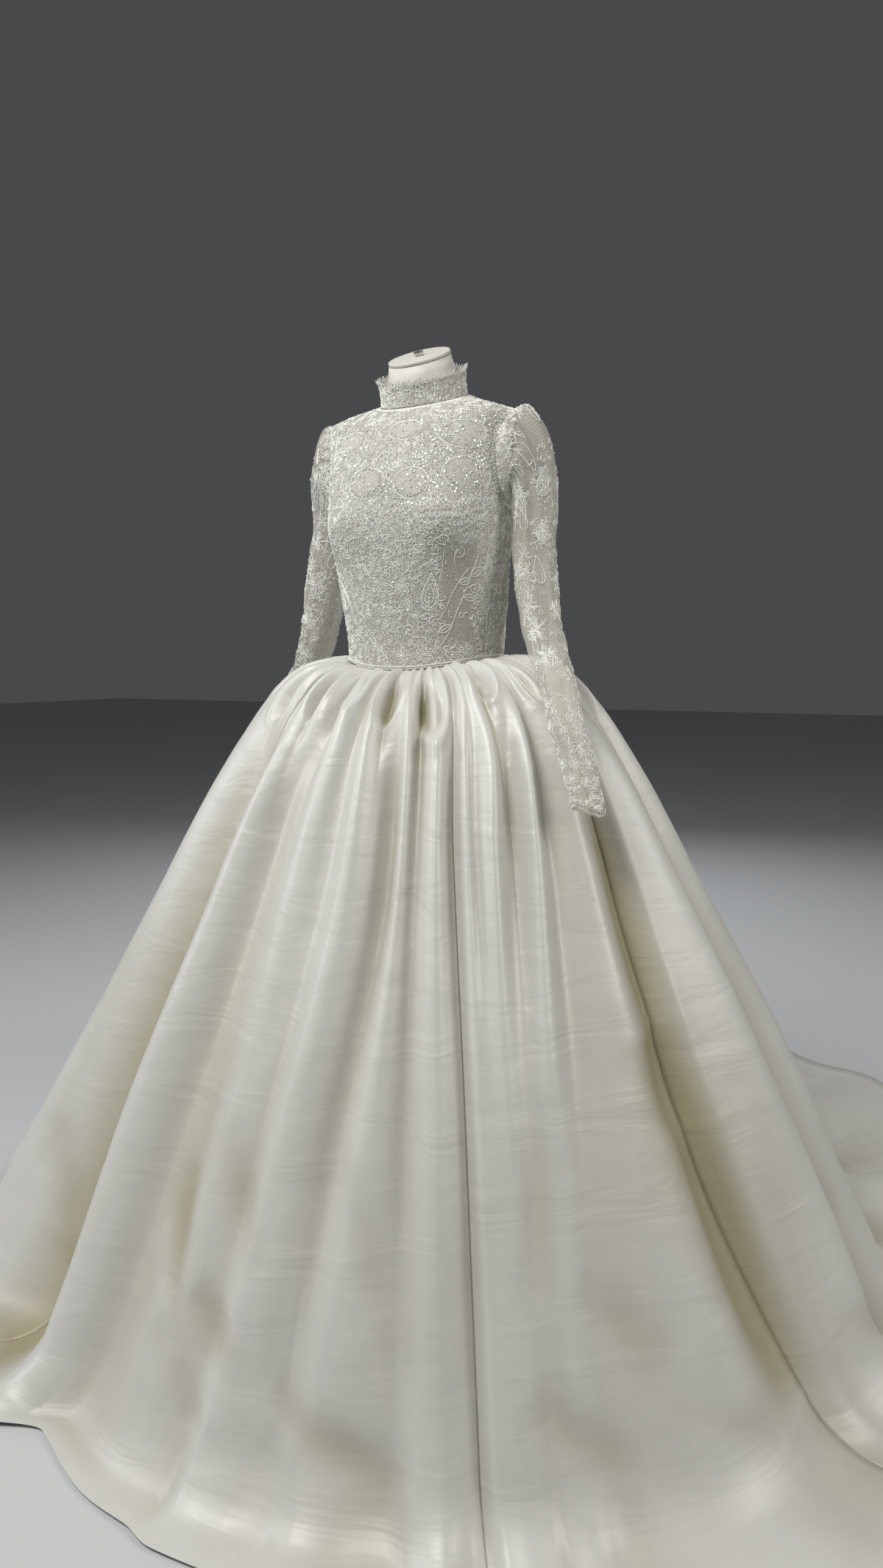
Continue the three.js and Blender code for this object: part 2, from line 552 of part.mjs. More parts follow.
// Ridges and valleys in order round the body from centre back: angle at each drop of FOLD_DROP, how far out of
// the skirt's side it lies there, how high its hem lies off the floor, whether it is a crisp crease, and the
// columns of the wall from it to the next.
const FOLDS = [
  { name: 'centre_back', at: [-180, -180, -180, -180], out: [-7, -30, -42, -34], lift: 0, columns: 4 },
  { name: 'back_ridge_1', at: [-170, -169, -168, -167], out: [4, 9, 15, 24], lift: 14, columns: 4 },
  { name: 'back_valley_1', at: [-159, -158, -157, -157], out: [-8, -34, -40, -34], lift: 0, columns: 4 },
  { name: 'back_ridge_2', at: [-149, -148, -147, -146], out: [4, 12, 18, 20], lift: 9, columns: 3 },
  { name: 'side_back_right', at: [-140, -139, -138, -138], out: [-8, -28, -44, -40], lift: 0, columns: 4 },
  { name: 'right_ridge_1', at: [-130, -129, -128, -127], out: [4, 10, 14, 20], lift: 16, columns: 3 },
  { name: 'right_valley_1', at: [-120, -119, -118, -118], out: [-8, -32, -44, -38], lift: 0, columns: 4 },
  { name: 'right_ridge_2', at: [-110, -109, -107, -106], out: [4, 12, 17, 22], lift: 12, columns: 4 },
  { name: 'side_right', at: [-99, -98, -97, -97], out: [-8, -26, -38, -34], lift: 0, columns: 4 },
  { name: 'right_ridge_3', at: [-88, -87, -86, -88], out: [4, 10, 16, 30], lift: 45, columns: 4 },
  { name: 'right_valley_3', at: [-76, -75, -75, -78], out: [-8, -24, -32, -20], lift: 10, columns: 5 },
  { name: 'fold_a', at: [-60, -60, -61, -67], out: [4, 12, 21, 66], lift: 12, columns: 5 },
  { name: 'side_front_right', at: [-38, -45, -45, -44], out: [-9, -46, -72, -76], lift: 0, columns: 4 },
  { name: 'fold_b', at: [-25, -29.5, -30.5, -32], out: [4, 12, 14, 16], lift: 10, columns: 6 },
  { name: 'valley_b', at: [-14, -20, -21, -24], out: [-8, -27, -36, -30], lift: 2, columns: 3 },
  { name: 'ridge_c1', at: [-5, -7, -8, -11], out: [5, 2, -10, -10], lift: 2, columns: 3 },
  { name: 'valley_c1', at: [1, 1, -2, -5], out: [-5, -12, -12, -12], lift: 4, columns: 3 },
  { name: 'ridge_c2', at: [7, 8, 4, -1], out: [5, 10, 8, 2], lift: 3, columns: 4 },
  { name: 'valley_c3', at: [18, 18, 13, 8], out: [-8, -36, -26, -12], lift: 2, columns: 2 },
  { name: 'ridge_c3', at: [22, 21.5, 18, 13], out: [0, -5, 0, 0], lift: 3, columns: 2 },
  { name: 'valley_c4', at: [26, 25, 24, 23], out: [-6, -17, -18, -14], lift: 2, columns: 3 },
  { name: 'ridge_c4', at: [31.5, 30, 29, 29.5], out: [5, 8, 10, 10], lift: 6, columns: 3 },
  { name: 'crease_front_left', at: [38, 35, 34.3, 34], out: [-8, -30, -34, -32], lift: 0, crisp: 1, columns: 2 },
  { name: 'ridge_l', at: [41, 37.5, 36.3, 36], out: [3, 6, 4, 3], lift: 2, columns: 2 },
  { name: 'valley_l1', at: [45, 40, 38.3, 38.3], out: [-7, -9, -2, -1], lift: 2, columns: 2 },
  { name: 'ridge_l1', at: [50.5, 43.5, 40.5, 40.5], out: [4, 9, 6, 4], lift: 4, columns: 2 },
  { name: 'valley_l2', at: [56.5, 50.3, 44.3, 42.5], out: [-8, -26, -14, -8], lift: 2, columns: 2 },
  { name: 'ridge_l2', at: [60.5, 54, 47.2, 44.5], out: [3, 6, 8, 5], lift: 3, columns: 2 },
  { name: 'valley_l3', at: [65, 60, 53.4, 49], out: [-7, -24, -26, -17], lift: 2, columns: 3 },
  { name: 'plane_l4', at: [71, 67, 65, 67], out: [3, -2, -4, 0], lift: 4, columns: 2 },
  { name: 'side_front_left', at: [78, 77, 73.5, 78.5], out: [-8, -30, -44, -36], lift: 0, crisp: 1, columns: 2 },
  { name: 'edge_d', at: [82, 81, 77.5, 82.5], out: [0, -8, -14, -10], lift: 2, columns: 4 },
  { name: 'ridge_d', at: [90, 89.5, 90, 92], out: [5, 12, 12, 14], lift: 10, columns: 4 },
  { name: 'valley_e', at: [99, 98, 100, 101], out: [-8, -30, -36, -30], lift: 0, columns: 4 },
  { name: 'ridge_e', at: [109, 109, 111, 112], out: [4, 10, 14, 18], lift: 16, columns: 4 },
  { name: 'side_left', at: [119, 119, 121, 122], out: [-8, -34, -44, -40], lift: 0, columns: 4 },
  { name: 'ridge_f', at: [129, 130, 131, 132], out: [4, 11, 17, 20], lift: 10, columns: 4 },
  { name: 'valley_f', at: [139, 140, 142, 142], out: [-8, -30, -42, -38], lift: 0, columns: 4 },
  { name: 'ridge_g', at: [150, 151, 152, 152], out: [4, 10, 18, 24], lift: 18, columns: 3 },
  { name: 'valley_g', at: [160, 161, 161, 161], out: [-8, -28, -36, -30], lift: 0, columns: 3 },
  { name: 'ridge_h', at: [170, 170, 170, 170], out: [4, 9, 16, 20], lift: 8, columns: 4 },
];
// Gathers at the waist, one to every two columns of the wall: drop, and how far they stand in and out.
const GATHER_DROP = [0, 7, 22, 50, 95, 150];
const GATHER_DEPTH = [0, 1.8, 4, 4.6, 2.4, 0];
const SIDE_LENGTH = 1000; // drop at which the side ends and the bend to the floor begins
const TOE_BEND = 38; // how far out the bend's control point lies
const TOE_REACH = 75; // the bend ends at most this much further out
const HEM_FOLLOWS = 0.6; // the hem follows the side's folds in and out by this part

// Rows of the skirt's wall: drops down its side, then parts of the bend at the floor, then parts of the train.
const SIDE_ROWS = [0, 7, 22, 50, 95, 165, 290, 480, 730, SIDE_LENGTH];
const BEND_ROWS = [0.5, 1];
const TRAIN_ROWS = [0.45, 1];

const waistRadius = (angle) => {
  const turn = radians(angle);
  const depth = Math.cos(turn) > 0 ? WAIST_FRONT : WAIST_BACK;
  return 1 / Math.hypot(Math.sin(turn) / WAIST_HALF_WIDTH, Math.cos(turn) / depth);
};
const roundAngle = (angle) => ((angle + 540) % 360) - 180;
const sideRadius = (angle, drop) => lerp(
  waistRadius(angle),
  curveAt(roundAngle(angle), FLOOR_ANGLE, FLOOR_RADIUS),
  curveAt(drop, SIDE_DROP, SIDE_OUT),
);

/** Angle, depth and hem lift at a drop, part of the way from one fold line to the next. */
function foldAt(line, part, drop) {
  const here = FOLDS[line];
  const next = FOLDS[(line + 1) % FOLDS.length];
  const turn = line + 1 === FOLDS.length ? 360 : 0;
  const level = (values) => curveAt(Math.max(drop, FOLD_DROP[0]), FOLD_DROP, values);
  let ease = part * part * (3 - 2 * part);
  if (here.crisp) ease = Math.sin((part * Math.PI) / 2);
  if (next.crisp) ease = 1 - Math.cos((part * Math.PI) / 2);
  return {
    angle: lerp(level(here.at), level(next.at) + turn, part),
    out: lerp(level(here.out), level(next.out), ease) * Math.min(1, drop / FOLD_DROP[0]),
    lift: lerp(here.lift, next.lift, ease),
  };
}

/** A point down the skirt's side. The gathers stand out square to the side. */
function sidePoint(column, drop) {
  const { angle, out } = foldAt(column.line, column.part, drop);
  const turn = radians(angle);
  const front = Math.max(0, (waistRadius(angle) * Math.cos(turn)) / WAIST_FRONT) ** 2;
  const top = WAIST_HEIGHT - WAIST_DIP * front - SEAM_GAP;
  const scale = (top - TOE_HEIGHT) / SIDE_LENGTH;
  const slopeStep = 4;
  const spread = sideRadius(angle, drop + slopeStep) - sideRadius(angle, drop);
  const tilt = Math.atan2(spread, slopeStep);
  const gather = column.sign * curveAt(drop, GATHER_DROP, GATHER_DEPTH);
  return {
    angle,
    radius: sideRadius(angle, drop) + out + gather * Math.cos(tilt),
    height: top - drop * scale + gather * Math.sin(tilt),
  };
}

function skirtPoint(column, row) {
  if (row.drop !== undefined) return sidePoint(column, row.drop);
  const start = sidePoint(column, SIDE_LENGTH);
  const { angle, out, lift } = foldAt(column.line, column.part, FOLD_DROP[3]);
  const hem = curveAt(roundAngle(angle), FLOOR_ANGLE, HEM_RADIUS) + HEM_FOLLOWS * out;
  const corner = start.radius + TOE_BEND;
  const toe = corner + Math.min(TOE_REACH, 0.5 * (hem - corner));
  const ripple = Math.max(0, out + 8);
  const floor = SATIN + ripple;
  if (row.bend !== undefined) {
    const t = row.bend;
    const radius = (1 - t) ** 2 * start.radius + 2 * t * (1 - t) * corner + t * t * toe;
    return { angle, radius, height: (1 - t) ** 2 * start.height + (1 - (1 - t) ** 2) * floor };
  }
  const t = row.train;
  return { angle, radius: lerp(toe, hem, t), height: SATIN + lerp(ripple, lift, t) };
}

/** Columns of the skirt's wall all round, each between two fold lines. */
function skirtColumns() {
  const columns = [];
  FOLDS.forEach((fold, line) => {
    for (let k = 0; k < fold.columns; k += 1) {
      columns.push({ line, part: k / fold.columns, sign: columns.length % 2 ? 1 : -1 });
    }
  });
  return columns;
}

const SKIRT_SEAMS = [
  ['skirt_back_right', 'centre_back', 'side_back_right'],
  ['skirt_side_back_right', 'side_back_right', 'side_right'],
  ['skirt_side_right', 'side_right', 'side_front_right'],
  ['skirt_front', 'side_front_right', 'crease_front_left'],
  ['skirt_side_front_left', 'crease_front_left', 'side_front_left'],
  ['skirt_side_left', 'side_front_left', 'side_left'],
  ['skirt_back_left', 'side_left', 'centre_back'],
];

/** The skirt's gores, each a closed wall whose side edges stand half a gap from the fold line they meet in. */
function skirtPanels() {
  const columns = skirtColumns();
  const rows = [
    ...SIDE_ROWS.map((drop) => ({ drop })),
    ...BEND_ROWS.map((bend) => ({ bend })),
    ...TRAIN_ROWS.map((train) => ({ train })),
  ];
  const place = ({ angle, radius, height }) => (
    new THREE.Vector3(radius * Math.sin(radians(angle)), -radius * Math.cos(radians(angle)), height));
  const grid = rows.map((row) => columns.map((column) => place(skirtPoint(column, row))));
  const inner = movedGrid(grid, gridNormals(grid, true), -SATIN, 0);
  const columnOf = (name) => columns.findIndex(({ line, part }) => part === 0 && FOLDS[line].name === name);
  const nudge = (point, beside, distance) => {
    const side = new THREE.Vector3(-point.y, point.x, 0).normalize();
    const sign = Math.sign(side.dot(beside.clone().sub(point)));
    return point.clone().addScaledVector(side, sign * distance);
  };
  return SKIRT_SEAMS.map(([name, from, to]) => {
    const first = columnOf(from);
    const end = columnOf(to);
    const count = (end - first + columns.length) % columns.length;
    const picked = Array.from({ length: count + 1 }, (_, k) => (first + k) % columns.length);
    const trimmed = (surface) => surface.map((row) => picked.map((j, k) => {
      if (k === 0) return nudge(row[j], row[picked[1]], SEAM_GAP / 2 + 0.05);
      if (k === count) return nudge(row[j], row[picked[count - 1]], SEAM_GAP / 2 + 0.05);
      return row[j].clone();
    }));
    return [name, wallGeometry(trimmed(grid), trimmed(inner))];
  });
}

// The back closes with a hidden zip, whose pull shows at the top, and with two covered buttons on the collar.
const BUTTON = { radius: 5, height: 4, edge: 1.4, sides: 12, clearance: 0.8, rises: [9, 25] };

function collarButton(rise) {
  const rows = COLLAR_ROWS.map((row) => row.rise).reverse();
  const at = (key) => curveAt(rise, rows, COLLAR_ROWS.map((row) => row[key]).reverse());
  const row = { rise, across: at('across'), along: at('along'), tilt: at('tilt'), back: at('back') };
  const spot = collarPoint(180, row);
  const { radius, edge, height } = BUTTON;
  const dome = [[0, 0], [radius, 0], [radius, edge], [radius * 0.6, height - edge / 2], [0, height]];
  const button = new THREE.LatheGeometry(dome.map(([x, y]) => new THREE.Vector2(x, y)), BUTTON.sides);
  return button.translate(spot.x, spot.y + LACE + BUTTON.clearance, spot.z);
}

const ZIP_PULL = { width: 5, length: 15, thickness: 1.4, row: 9, behind: 7, above: 2, lean: 10 };

function zipPull() {
  const tab = new THREE.Shape();
  const { width, length, thickness } = ZIP_PULL;
  tab.moveTo(-width * 0.3, 0);
  tab.lineTo(-width / 2, -length + width / 2);
  tab.absarc(0, -length + width / 2, width / 2, Math.PI, 2 * Math.PI);
  tab.lineTo(width * 0.3, 0);
  tab.closePath();
  const pull = new THREE.ExtrudeGeometry(tab, { depth: thickness, bevelEnabled: false, curveSegments: 6 });
  pull.rotateX(Math.PI / 2);
  const spot = torsoPoint(180, ZIP_PULL.row);
  pull.rotateX(radians(ZIP_PULL.lean));
  return pull.translate(spot.x, spot.y + ZIP_PULL.behind, spot.z + ZIP_PULL.above);
}

const satinWhite = { color: 0xeceae2, roughness: 0.38, metalness: 0 };
const laceWhite = { color: 0xe2e1dc, roughness: 0.7, metalness: 0 };
const tulleWhite = { color: 0xe9e8e4, roughness: 0.8, metalness: 0 };
const formWhite = { color: 0xf1f0ec, roughness: 0.5, metalness: 0 };
const metalGrey = { color: 0xb9b9b6, roughness: 0.3, metalness: 1 };

const dress = new THREE.Group();

function addPiece(name, geometry, finish) {
  const piece = new THREE.Mesh(geometry, new THREE.MeshStandardMaterial({ ...finish }));
  piece.name = name;
  dress.add(piece);
}

addPiece('stand_base', standBase(), metalGrey);
addPiece('stand_pole', standPole(), metalGrey);
addPiece('form_torso', formTorso(), formWhite);
addPiece('neck_cap', neckCap(), formWhite);
addPiece('neck_socket', neckSocket(), metalGrey);
addPiece('bodice_front', bodicePanel(-90, 90, 24), laceWhite);
addPiece('bodice_back_left', bodicePanel(90, 180, 11), laceWhite);
addPiece('bodice_back_right', bodicePanel(-180, -90, 11), laceWhite);
addPiece('collar', collar(), laceWhite);
addPiece('collar_fringe', collarFringe(), tulleWhite);
addPiece('sleeve_left', sleeve(1, LEFT_SLEEVE), tulleWhite);
addPiece('sleeve_right', sleeve(-1, RIGHT_SLEEVE), tulleWhite);
addPiece('cuff_fringe_left', cuffFringe(1, LEFT_SLEEVE), tulleWhite);
addPiece('cuff_fringe_right', cuffFringe(-1, RIGHT_SLEEVE), tulleWhite);
BUTTON.rises.forEach((rise, i) => addPiece(`collar_button_${i + 1}`, collarButton(rise), satinWhite));
addPiece('zip_pull', zipPull(), metalGrey);
skirtPanels().forEach(([name, geometry]) => addPiece(name, geometry, satinWhite));

export default dress;
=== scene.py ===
import logging
import math
from dataclasses import dataclass, field
from enum import Enum
from typing import Callable, Sequence

import bpy
import numpy as np
from mathutils import Matrix, Vector
from mathutils.kdtree import KDTree


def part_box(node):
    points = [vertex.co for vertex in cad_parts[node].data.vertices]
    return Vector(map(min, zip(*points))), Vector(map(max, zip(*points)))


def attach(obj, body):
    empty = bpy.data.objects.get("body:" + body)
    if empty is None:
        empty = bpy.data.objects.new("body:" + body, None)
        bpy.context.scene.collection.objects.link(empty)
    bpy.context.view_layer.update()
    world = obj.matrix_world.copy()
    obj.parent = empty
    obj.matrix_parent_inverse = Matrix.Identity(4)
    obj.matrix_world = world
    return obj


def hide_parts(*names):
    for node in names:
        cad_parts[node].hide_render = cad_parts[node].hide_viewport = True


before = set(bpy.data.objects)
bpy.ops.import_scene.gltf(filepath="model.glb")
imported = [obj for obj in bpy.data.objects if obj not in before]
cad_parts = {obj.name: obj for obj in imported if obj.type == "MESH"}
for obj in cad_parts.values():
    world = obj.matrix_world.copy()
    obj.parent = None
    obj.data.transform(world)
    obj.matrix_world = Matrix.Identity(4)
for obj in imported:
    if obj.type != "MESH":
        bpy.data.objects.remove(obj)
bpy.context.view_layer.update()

log = logging.getLogger("wedding_dress")

# Sizes are in millimetres and angles in degrees, as in the part's source, and meshes are made in metres.
# An angle round the body is 0 at the front and grows to the wearer's left.
MM = 0.001
BODY = "root"
Array = np.ndarray

WAIST_HEIGHT = 1070.0
WAIST_DIP = 20.0
WAIST_HALF_WIDTH = 133.0
WAIST_FRONT = 108.0
WAIST_BACK = 98.0
SEAM_GAP = 0.3
SATIN_WALL = 1.8
LACE_WALL = 1.6
TULLE_WALL = 1.2
FORM_CLEARANCE = 5.4
CLOTH_SHARE = 0.9  # how much of its solid's wall a cloth here takes up
TULLE_SHARE = 0.8  # and the tulle


def smooth_curve(x: Array | float, knots: Sequence[float], values: Sequence[float]) -> Array:
    """Smooth values at x through the knots, with no overshoot.

    Args:
        x: where to look the curve up.
        knots: places of the knots, growing.
        values: the curve's values at the knots.

    Returns:
        The values at x.
    """
    xs = np.asarray(knots, float)
    ys = np.asarray(values, float)
    x = np.clip(np.asarray(x, float), xs[0], xs[-1])
    slope = np.diff(ys) / np.diff(xs)
    tangent = np.empty_like(ys)
    tangent[0] = slope[0]
    tangent[-1] = slope[-1]
    before = slope[:-1]
    after = slope[1:]
    same_way = before * after > 0
    total = np.where(same_way, before + after, 1.0)
    tangent[1:-1] = np.where(same_way, 2 * before * after / total, 0.0)
    i = np.clip(np.searchsorted(xs, x, side="right") - 1, 0, len(xs) - 2)
    width = xs[i + 1] - xs[i]
    t = (x - xs[i]) / width
    t2 = t * t
    t3 = t2 * t
    return (
        (2 * t3 - 3 * t2 + 1) * ys[i]
        + (t3 - 2 * t2 + t) * width * tangent[i]
        + (3 * t2 - 2 * t3) * ys[i + 1]
        + (t3 - t2) * width * tangent[i + 1]
    )


def smooth_step(x: Array | float) -> Array:
    """0 below 0, 1 above 1, and an even S between."""
    t = np.clip(x, 0.0, 1.0)
    return t * t * (3 - 2 * t)


def angle_between(angle: Array | float, other: Array | float) -> Array:
    """How far an angle lies from another, from -180 to 180 degrees."""
    return np.mod(angle - other + 180, 360) - 180


def unit(vectors: Array) -> Array:
    """The vectors at length 1."""
    return vectors / np.maximum(np.linalg.norm(vectors, axis=-1, keepdims=True), 1e-9)


def linear(hex_colour: str) -> tuple[float, float, float, float]:
    """A colour given as sRGB hex, in linear light.

    Args:
        hex_colour: such as "#eceae2".

    Returns:
        Red, green, blue and 1.
    """
    parts = [int(hex_colour[k : k + 2], 16) / 255 for k in (1, 3, 5)]
    lin = [c / 12.92 if c <= 0.04045 else ((c + 0.055) / 1.055) ** 2.4 for c in parts]
    return (lin[0], lin[1], lin[2], 1.0)


def feed(node: bpy.types.Node, inputs: dict[str | int, object]) -> None:
    """Give a node's sockets values, or what feeds them.

    Args:
        node: the node.
        inputs: for a socket's name or number, a value, an output socket, or a node with its first output.
    """
    for key, value in inputs.items():
        if isinstance(value, bpy.types.Node):
            value = value.outputs[0]
        if isinstance(value, bpy.types.NodeSocket):
            node.id_data.links.new(value, node.inputs[key])
        else:
            node.inputs[key].default_value = value


def add_node(
    m: bpy.types.Material, kind: str, inputs: dict | None = None, **settings: object
) -> bpy.types.Node:
    """Add a shader node with its settings, values and links.

    Args:
        m: the material that the node goes into.
        kind: the node's type name, without ShaderNode.
        inputs: what its sockets get, as for feed.
        settings: the node's own properties.

    Returns:
        The node.
    """
    node = m.node_tree.nodes.new(f"ShaderNode{kind}")
    for name, value in settings.items():
        setattr(node, name, value)
    feed(node, inputs or {})
    return node


def new_material(name: str) -> tuple[bpy.types.Material, bpy.types.Node]:
    """Start a node material.

    Args:
        name: the finish's name.

    Returns:
        The material and its main shader.
    """
    material = bpy.data.materials.new(name)
    material.use_nodes = True
    return material, material.node_tree.nodes["Principled BSDF"]


def mottled(
    m: bpy.types.Material, colour: object, pattern: bpy.types.Node, low: float, high: float
) -> bpy.types.NodeSocket:
    """A colour that a pattern makes a little darker and lighter.

    Args:
        m: the material.
        colour: a linear colour or the socket that gives it.
        pattern: the node that gives the pattern.
        low: the darkest share of the colour.
        high: the lightest share.

    Returns:
        The socket that gives the result.
    """
    shade = add_node(m, "MapRange", {"Value": pattern, "To Min": low, "To Max": high})
    mixed = add_node(m, "Mix", {0: 1.0, 6: colour, 7: shade}, data_type="RGBA", blend_type="MULTIPLY")
    return mixed.outputs[2]


class Slot(Enum):
    """Names of the material slots."""

    SATIN = "satin"
    LACE = "lace"
    TULLE = "tulle"
    BUTTON = "covered_button"
    SKIN = "form_skin"
    METAL = "stand_metal"


class Held(Enum):
    """How a cloth is held where it hangs."""

    STRETCHED = "stretched"
    GATHERED = "gathered"
    HUNG = "hung"


@dataclass(frozen=True)
class SatinFinish:
    """Heavy duchess satin of fine filament: broad soft highlights, with a warm olive painted shade mixed into
    the folds and gather valleys.
    """

    name: str = "duchess_satin_ivory"
    face: str = "#cdccc7"
    # painted shade: the darker olive colour mixed in where the folds and gathers lie deep
    depth: str = "#9d9473"
    sheen: str = "#f6f2e6"
    thread_mm: float = 1.1  # threads are 0.1 mm apart, too fine to show, so the grain is drawn coarser
    slub_mm: float = 26.0
    rumple_mm: float = 95.0
    roughness: float = 0.43

    def material(self) -> bpy.types.Material:
        """Build the satin, on the cloth's own UV in metres.

        Returns:
            The material.
        """
        m, shader = new_material(self.name)
        place = add_node(m, "UVMap", uv_map="cloth")
        threads = add_node(m, "Mapping", {"Vector": place, "Scale": (1000 / self.thread_mm, 120.0, 1.0)})
        weave = add_node(m, "TexNoise", {"Vector": threads, "Scale": 1.0, "Detail": 2.0})
        slub = 1000 / self.slub_mm
        slubs = add_node(m, "Mapping", {"Vector": place, "Scale": (slub, slub / 4, 1.0)})
        drift = add_node(m, "TexNoise", {"Vector": slubs, "Scale": 1.0, "Detail": 4.0, "Roughness": 0.6})
        rumple = 1000 / self.rumple_mm
        across = add_node(m, "Mapping", {"Vector": place, "Scale": (0.5 * rumple, 1.6 * rumple, 1.0)})
        rumples = add_node(m, "TexNoise", {"Vector": across, "Scale": 1.0, "Detail": 3.0, "Distortion": 0.8})
        # the fold attribute carries painted shade, which mixes the darker colour into folds and gather
        # valleys
        fold = add_node(m, "Attribute", attribute_name="fold_painted_shade").outputs["Fac"]
        deep = add_node(m, "MapRange", {"Value": fold, "To Max": 0.9})
        tint = add_node(m, "Mix", {0: deep, 6: linear(self.face), 7: linear(self.depth)}, data_type="RGBA")
        limits = {"To Min": self.roughness - 0.05, "To Max": self.roughness + 0.07}
        grain = add_node(m, "Bump", {"Height": weave, "Strength": 0.07, "Distance": 0.0002})
        bump = add_node(m, "Bump", {"Height": drift, "Strength": 0.22, "Distance": 0.0016, "Normal": grain})
        creases = {"Height": rumples, "Strength": 0.5, "Distance": 0.006, "Normal": bump}
        feed(shader, {
            "Base Color": mottled(m, tint.outputs[2], drift, 0.94, 1.04),
            "Roughness": add_node(m, "MapRange", {"Value": drift, **limits}),
            "Normal": add_node(m, "Bump", creases),
            "IOR": 1.55,
            "Specular IOR Level": 0.7,
            "Sheen Weight": 0.1,
            "Sheen Roughness": 0.45,
            "Sheen Tint": linear(self.sheen),
        })
        return m


@dataclass(frozen=True)
class LaceGroundFinish:
    """Corded lace net over an ivory lining: a fine grey-white mesh with the lining glowing through."""

    name: str = "corded_lace_over_lining"
    lining: str = "#9a978d"
    thread: str = "#e4e3dc"
    applique: str = "#cfcdc4"
    cell_mm: float = 3.4
    loop_mm: float = 5.2
    warp: float = 0.004  # how far the net's threads wander, in metres
    roughness: float = 0.62

    def material(self) -> bpy.types.Material:
        """Build the lace ground, on Object coordinates in metres.

        Returns:
            The material.
        """
        m, shader = new_material(self.name)
        place = add_node(m, "TexCoord").outputs["Object"]
        noise = add_node(m, "TexNoise", {"Vector": place, "Scale": 1000 / self.loop_mm, "Detail": 1.0})
        warp = {0: noise.outputs["Color"], 1: (self.warp,) * 3}
        shift = add_node(m, "VectorMath", warp, operation="MULTIPLY")
        warped = add_node(m, "VectorMath", {0: place, 1: shift}, operation="ADD")
        loop_place = {"Vector": warped, "Scale": 1000 / self.loop_mm}
        cell_place = {"Vector": warped, "Scale": 1000 / self.cell_mm}
        loops = add_node(m, "TexVoronoi", loop_place, feature="DISTANCE_TO_EDGE")
        cells = add_node(m, "TexVoronoi", cell_place, feature="DISTANCE_TO_EDGE")
        cord = add_node(m, "MapRange", {"Value": loops, "From Max": 0.16, "To Min": 1.0, "To Max": 0.0})
        net = add_node(m, "MapRange", {"Value": cells, "From Max": 0.12, "To Min": 0.6, "To Max": 0.0})
        both = add_node(m, "Math", {0: cord, 1: net}, operation="MAXIMUM")
        thick = add_node(m, "Attribute", attribute_name="lace_thickness").outputs["Fac"]
        plain = add_node(m, "Attribute", attribute_name="lace_plain").outputs["Fac"]
        share = add_node(m, "MapRange", {"Value": thick, "To Min": 0.22, "To Max": 0.85})
        cover = add_node(m, "Math", {0: both, 1: share}, operation="MULTIPLY")
        ground = {0: cover, 6: linear(self.lining), 7: linear(self.thread)}
        lace = add_node(m, "Mix", ground, data_type="RGBA").outputs[2]
        colours = {0: plain, 6: lace, 7: linear(self.applique)}
        feed(shader, {
            "Base Color": add_node(m, "Mix", colours, data_type="RGBA").outputs[2],
            "Normal": add_node(m, "Bump", {"Height": both, "Strength": 0.75, "Distance": 0.0006}),
            "Roughness": self.roughness,
            "IOR": 1.5,
            "Sheen Weight": 0.15,
        })
        return m


@dataclass(frozen=True)
class TulleFinish:
    """Fine hexagonal tulle: nearly clear, with ivory threads and soft drawn streaks."""

    name: str = "illusion_tulle"
    thread: str = "#dedbd0"
    cell_mm: float = 2.6  # the net's holes are 0.8 mm, too fine to show, so they are drawn coarser
    clear: float = 0.09  # how solid the cloth looks between the threads
    dense: float = 0.36  # and on them
    roughness: float = 0.6

    def material(self) -> bpy.types.Material:
        """Build the tulle, partly see-through, on the cloth's own UV in metres.

        Returns:
            The material.
        """
        m, shader = new_material(self.name)
        place = add_node(m, "UVMap", uv_map="cloth")
        cells = add_node(
            m,
            "TexVoronoi",
            {"Vector": place, "Scale": 1000 / self.cell_mm, "Randomness": 0.25},
            feature="DISTANCE_TO_EDGE",
            voronoi_dimensions="2D",
        )
        solid = add_node(
            m, "MapRange", {"Value": cells, "From Max": 0.2, "To Min": self.dense, "To Max": self.clear}
        )
        drawn = add_node(m, "Mapping", {"Vector": place, "Scale": (70.0, 6.0, 1.0)})
        streaks = add_node(m, "TexNoise", {"Vector": drawn, "Scale": 1.0, "Detail": 3.0})
        limits = {"From Min": 0.35, "From Max": 0.75, "To Max": 0.22}
        streak = add_node(m, "MapRange", {"Value": streaks, **limits})
        feed(shader, {
            "Alpha": add_node(m, "Math", {0: solid, 1: streak}, operation="ADD", use_clamp=True),
            "Normal": add_node(m, "Bump", {"Height": streaks, "Strength": 0.3, "Distance": 0.001}),
            "Base Color": linear(self.thread),
            "Roughness": self.roughness,
            "Sheen Weight": 0.25,
        })
        return m


@dataclass(frozen=True)
class ThreadFinish:
    """Embroidery cord and satin stitch: cotton-rayon thread, matt with a thin gleam along its twist."""

    name: str = "embroidery_cord"
    colour: str = "#f8f7f2"
    twist_mm: float = 1.4
    roughness: float = 0.5

    def material(self) -> bpy.types.Material:
        """Build the thread, on Object coordinates in metres.

        Returns:
            The material.
        """
        m, shader = new_material(self.name)
        place = add_node(m, "TexCoord").outputs["Object"]
        twist = add_node(m, "TexNoise", {"Vector": place, "Scale": 1000 / self.twist_mm, "Detail": 1.0})
        feed(shader, {
            "Base Color": mottled(m, linear(self.colour), twist, 0.86, 1.06),
            "Normal": add_node(m, "Bump", {"Height": twist, "Strength": 0.5, "Distance": 0.0004}),
            "Roughness": self.roughness,
            "Specular IOR Level": 0.6,
            "Sheen Weight": 0.2,
        })
        return m


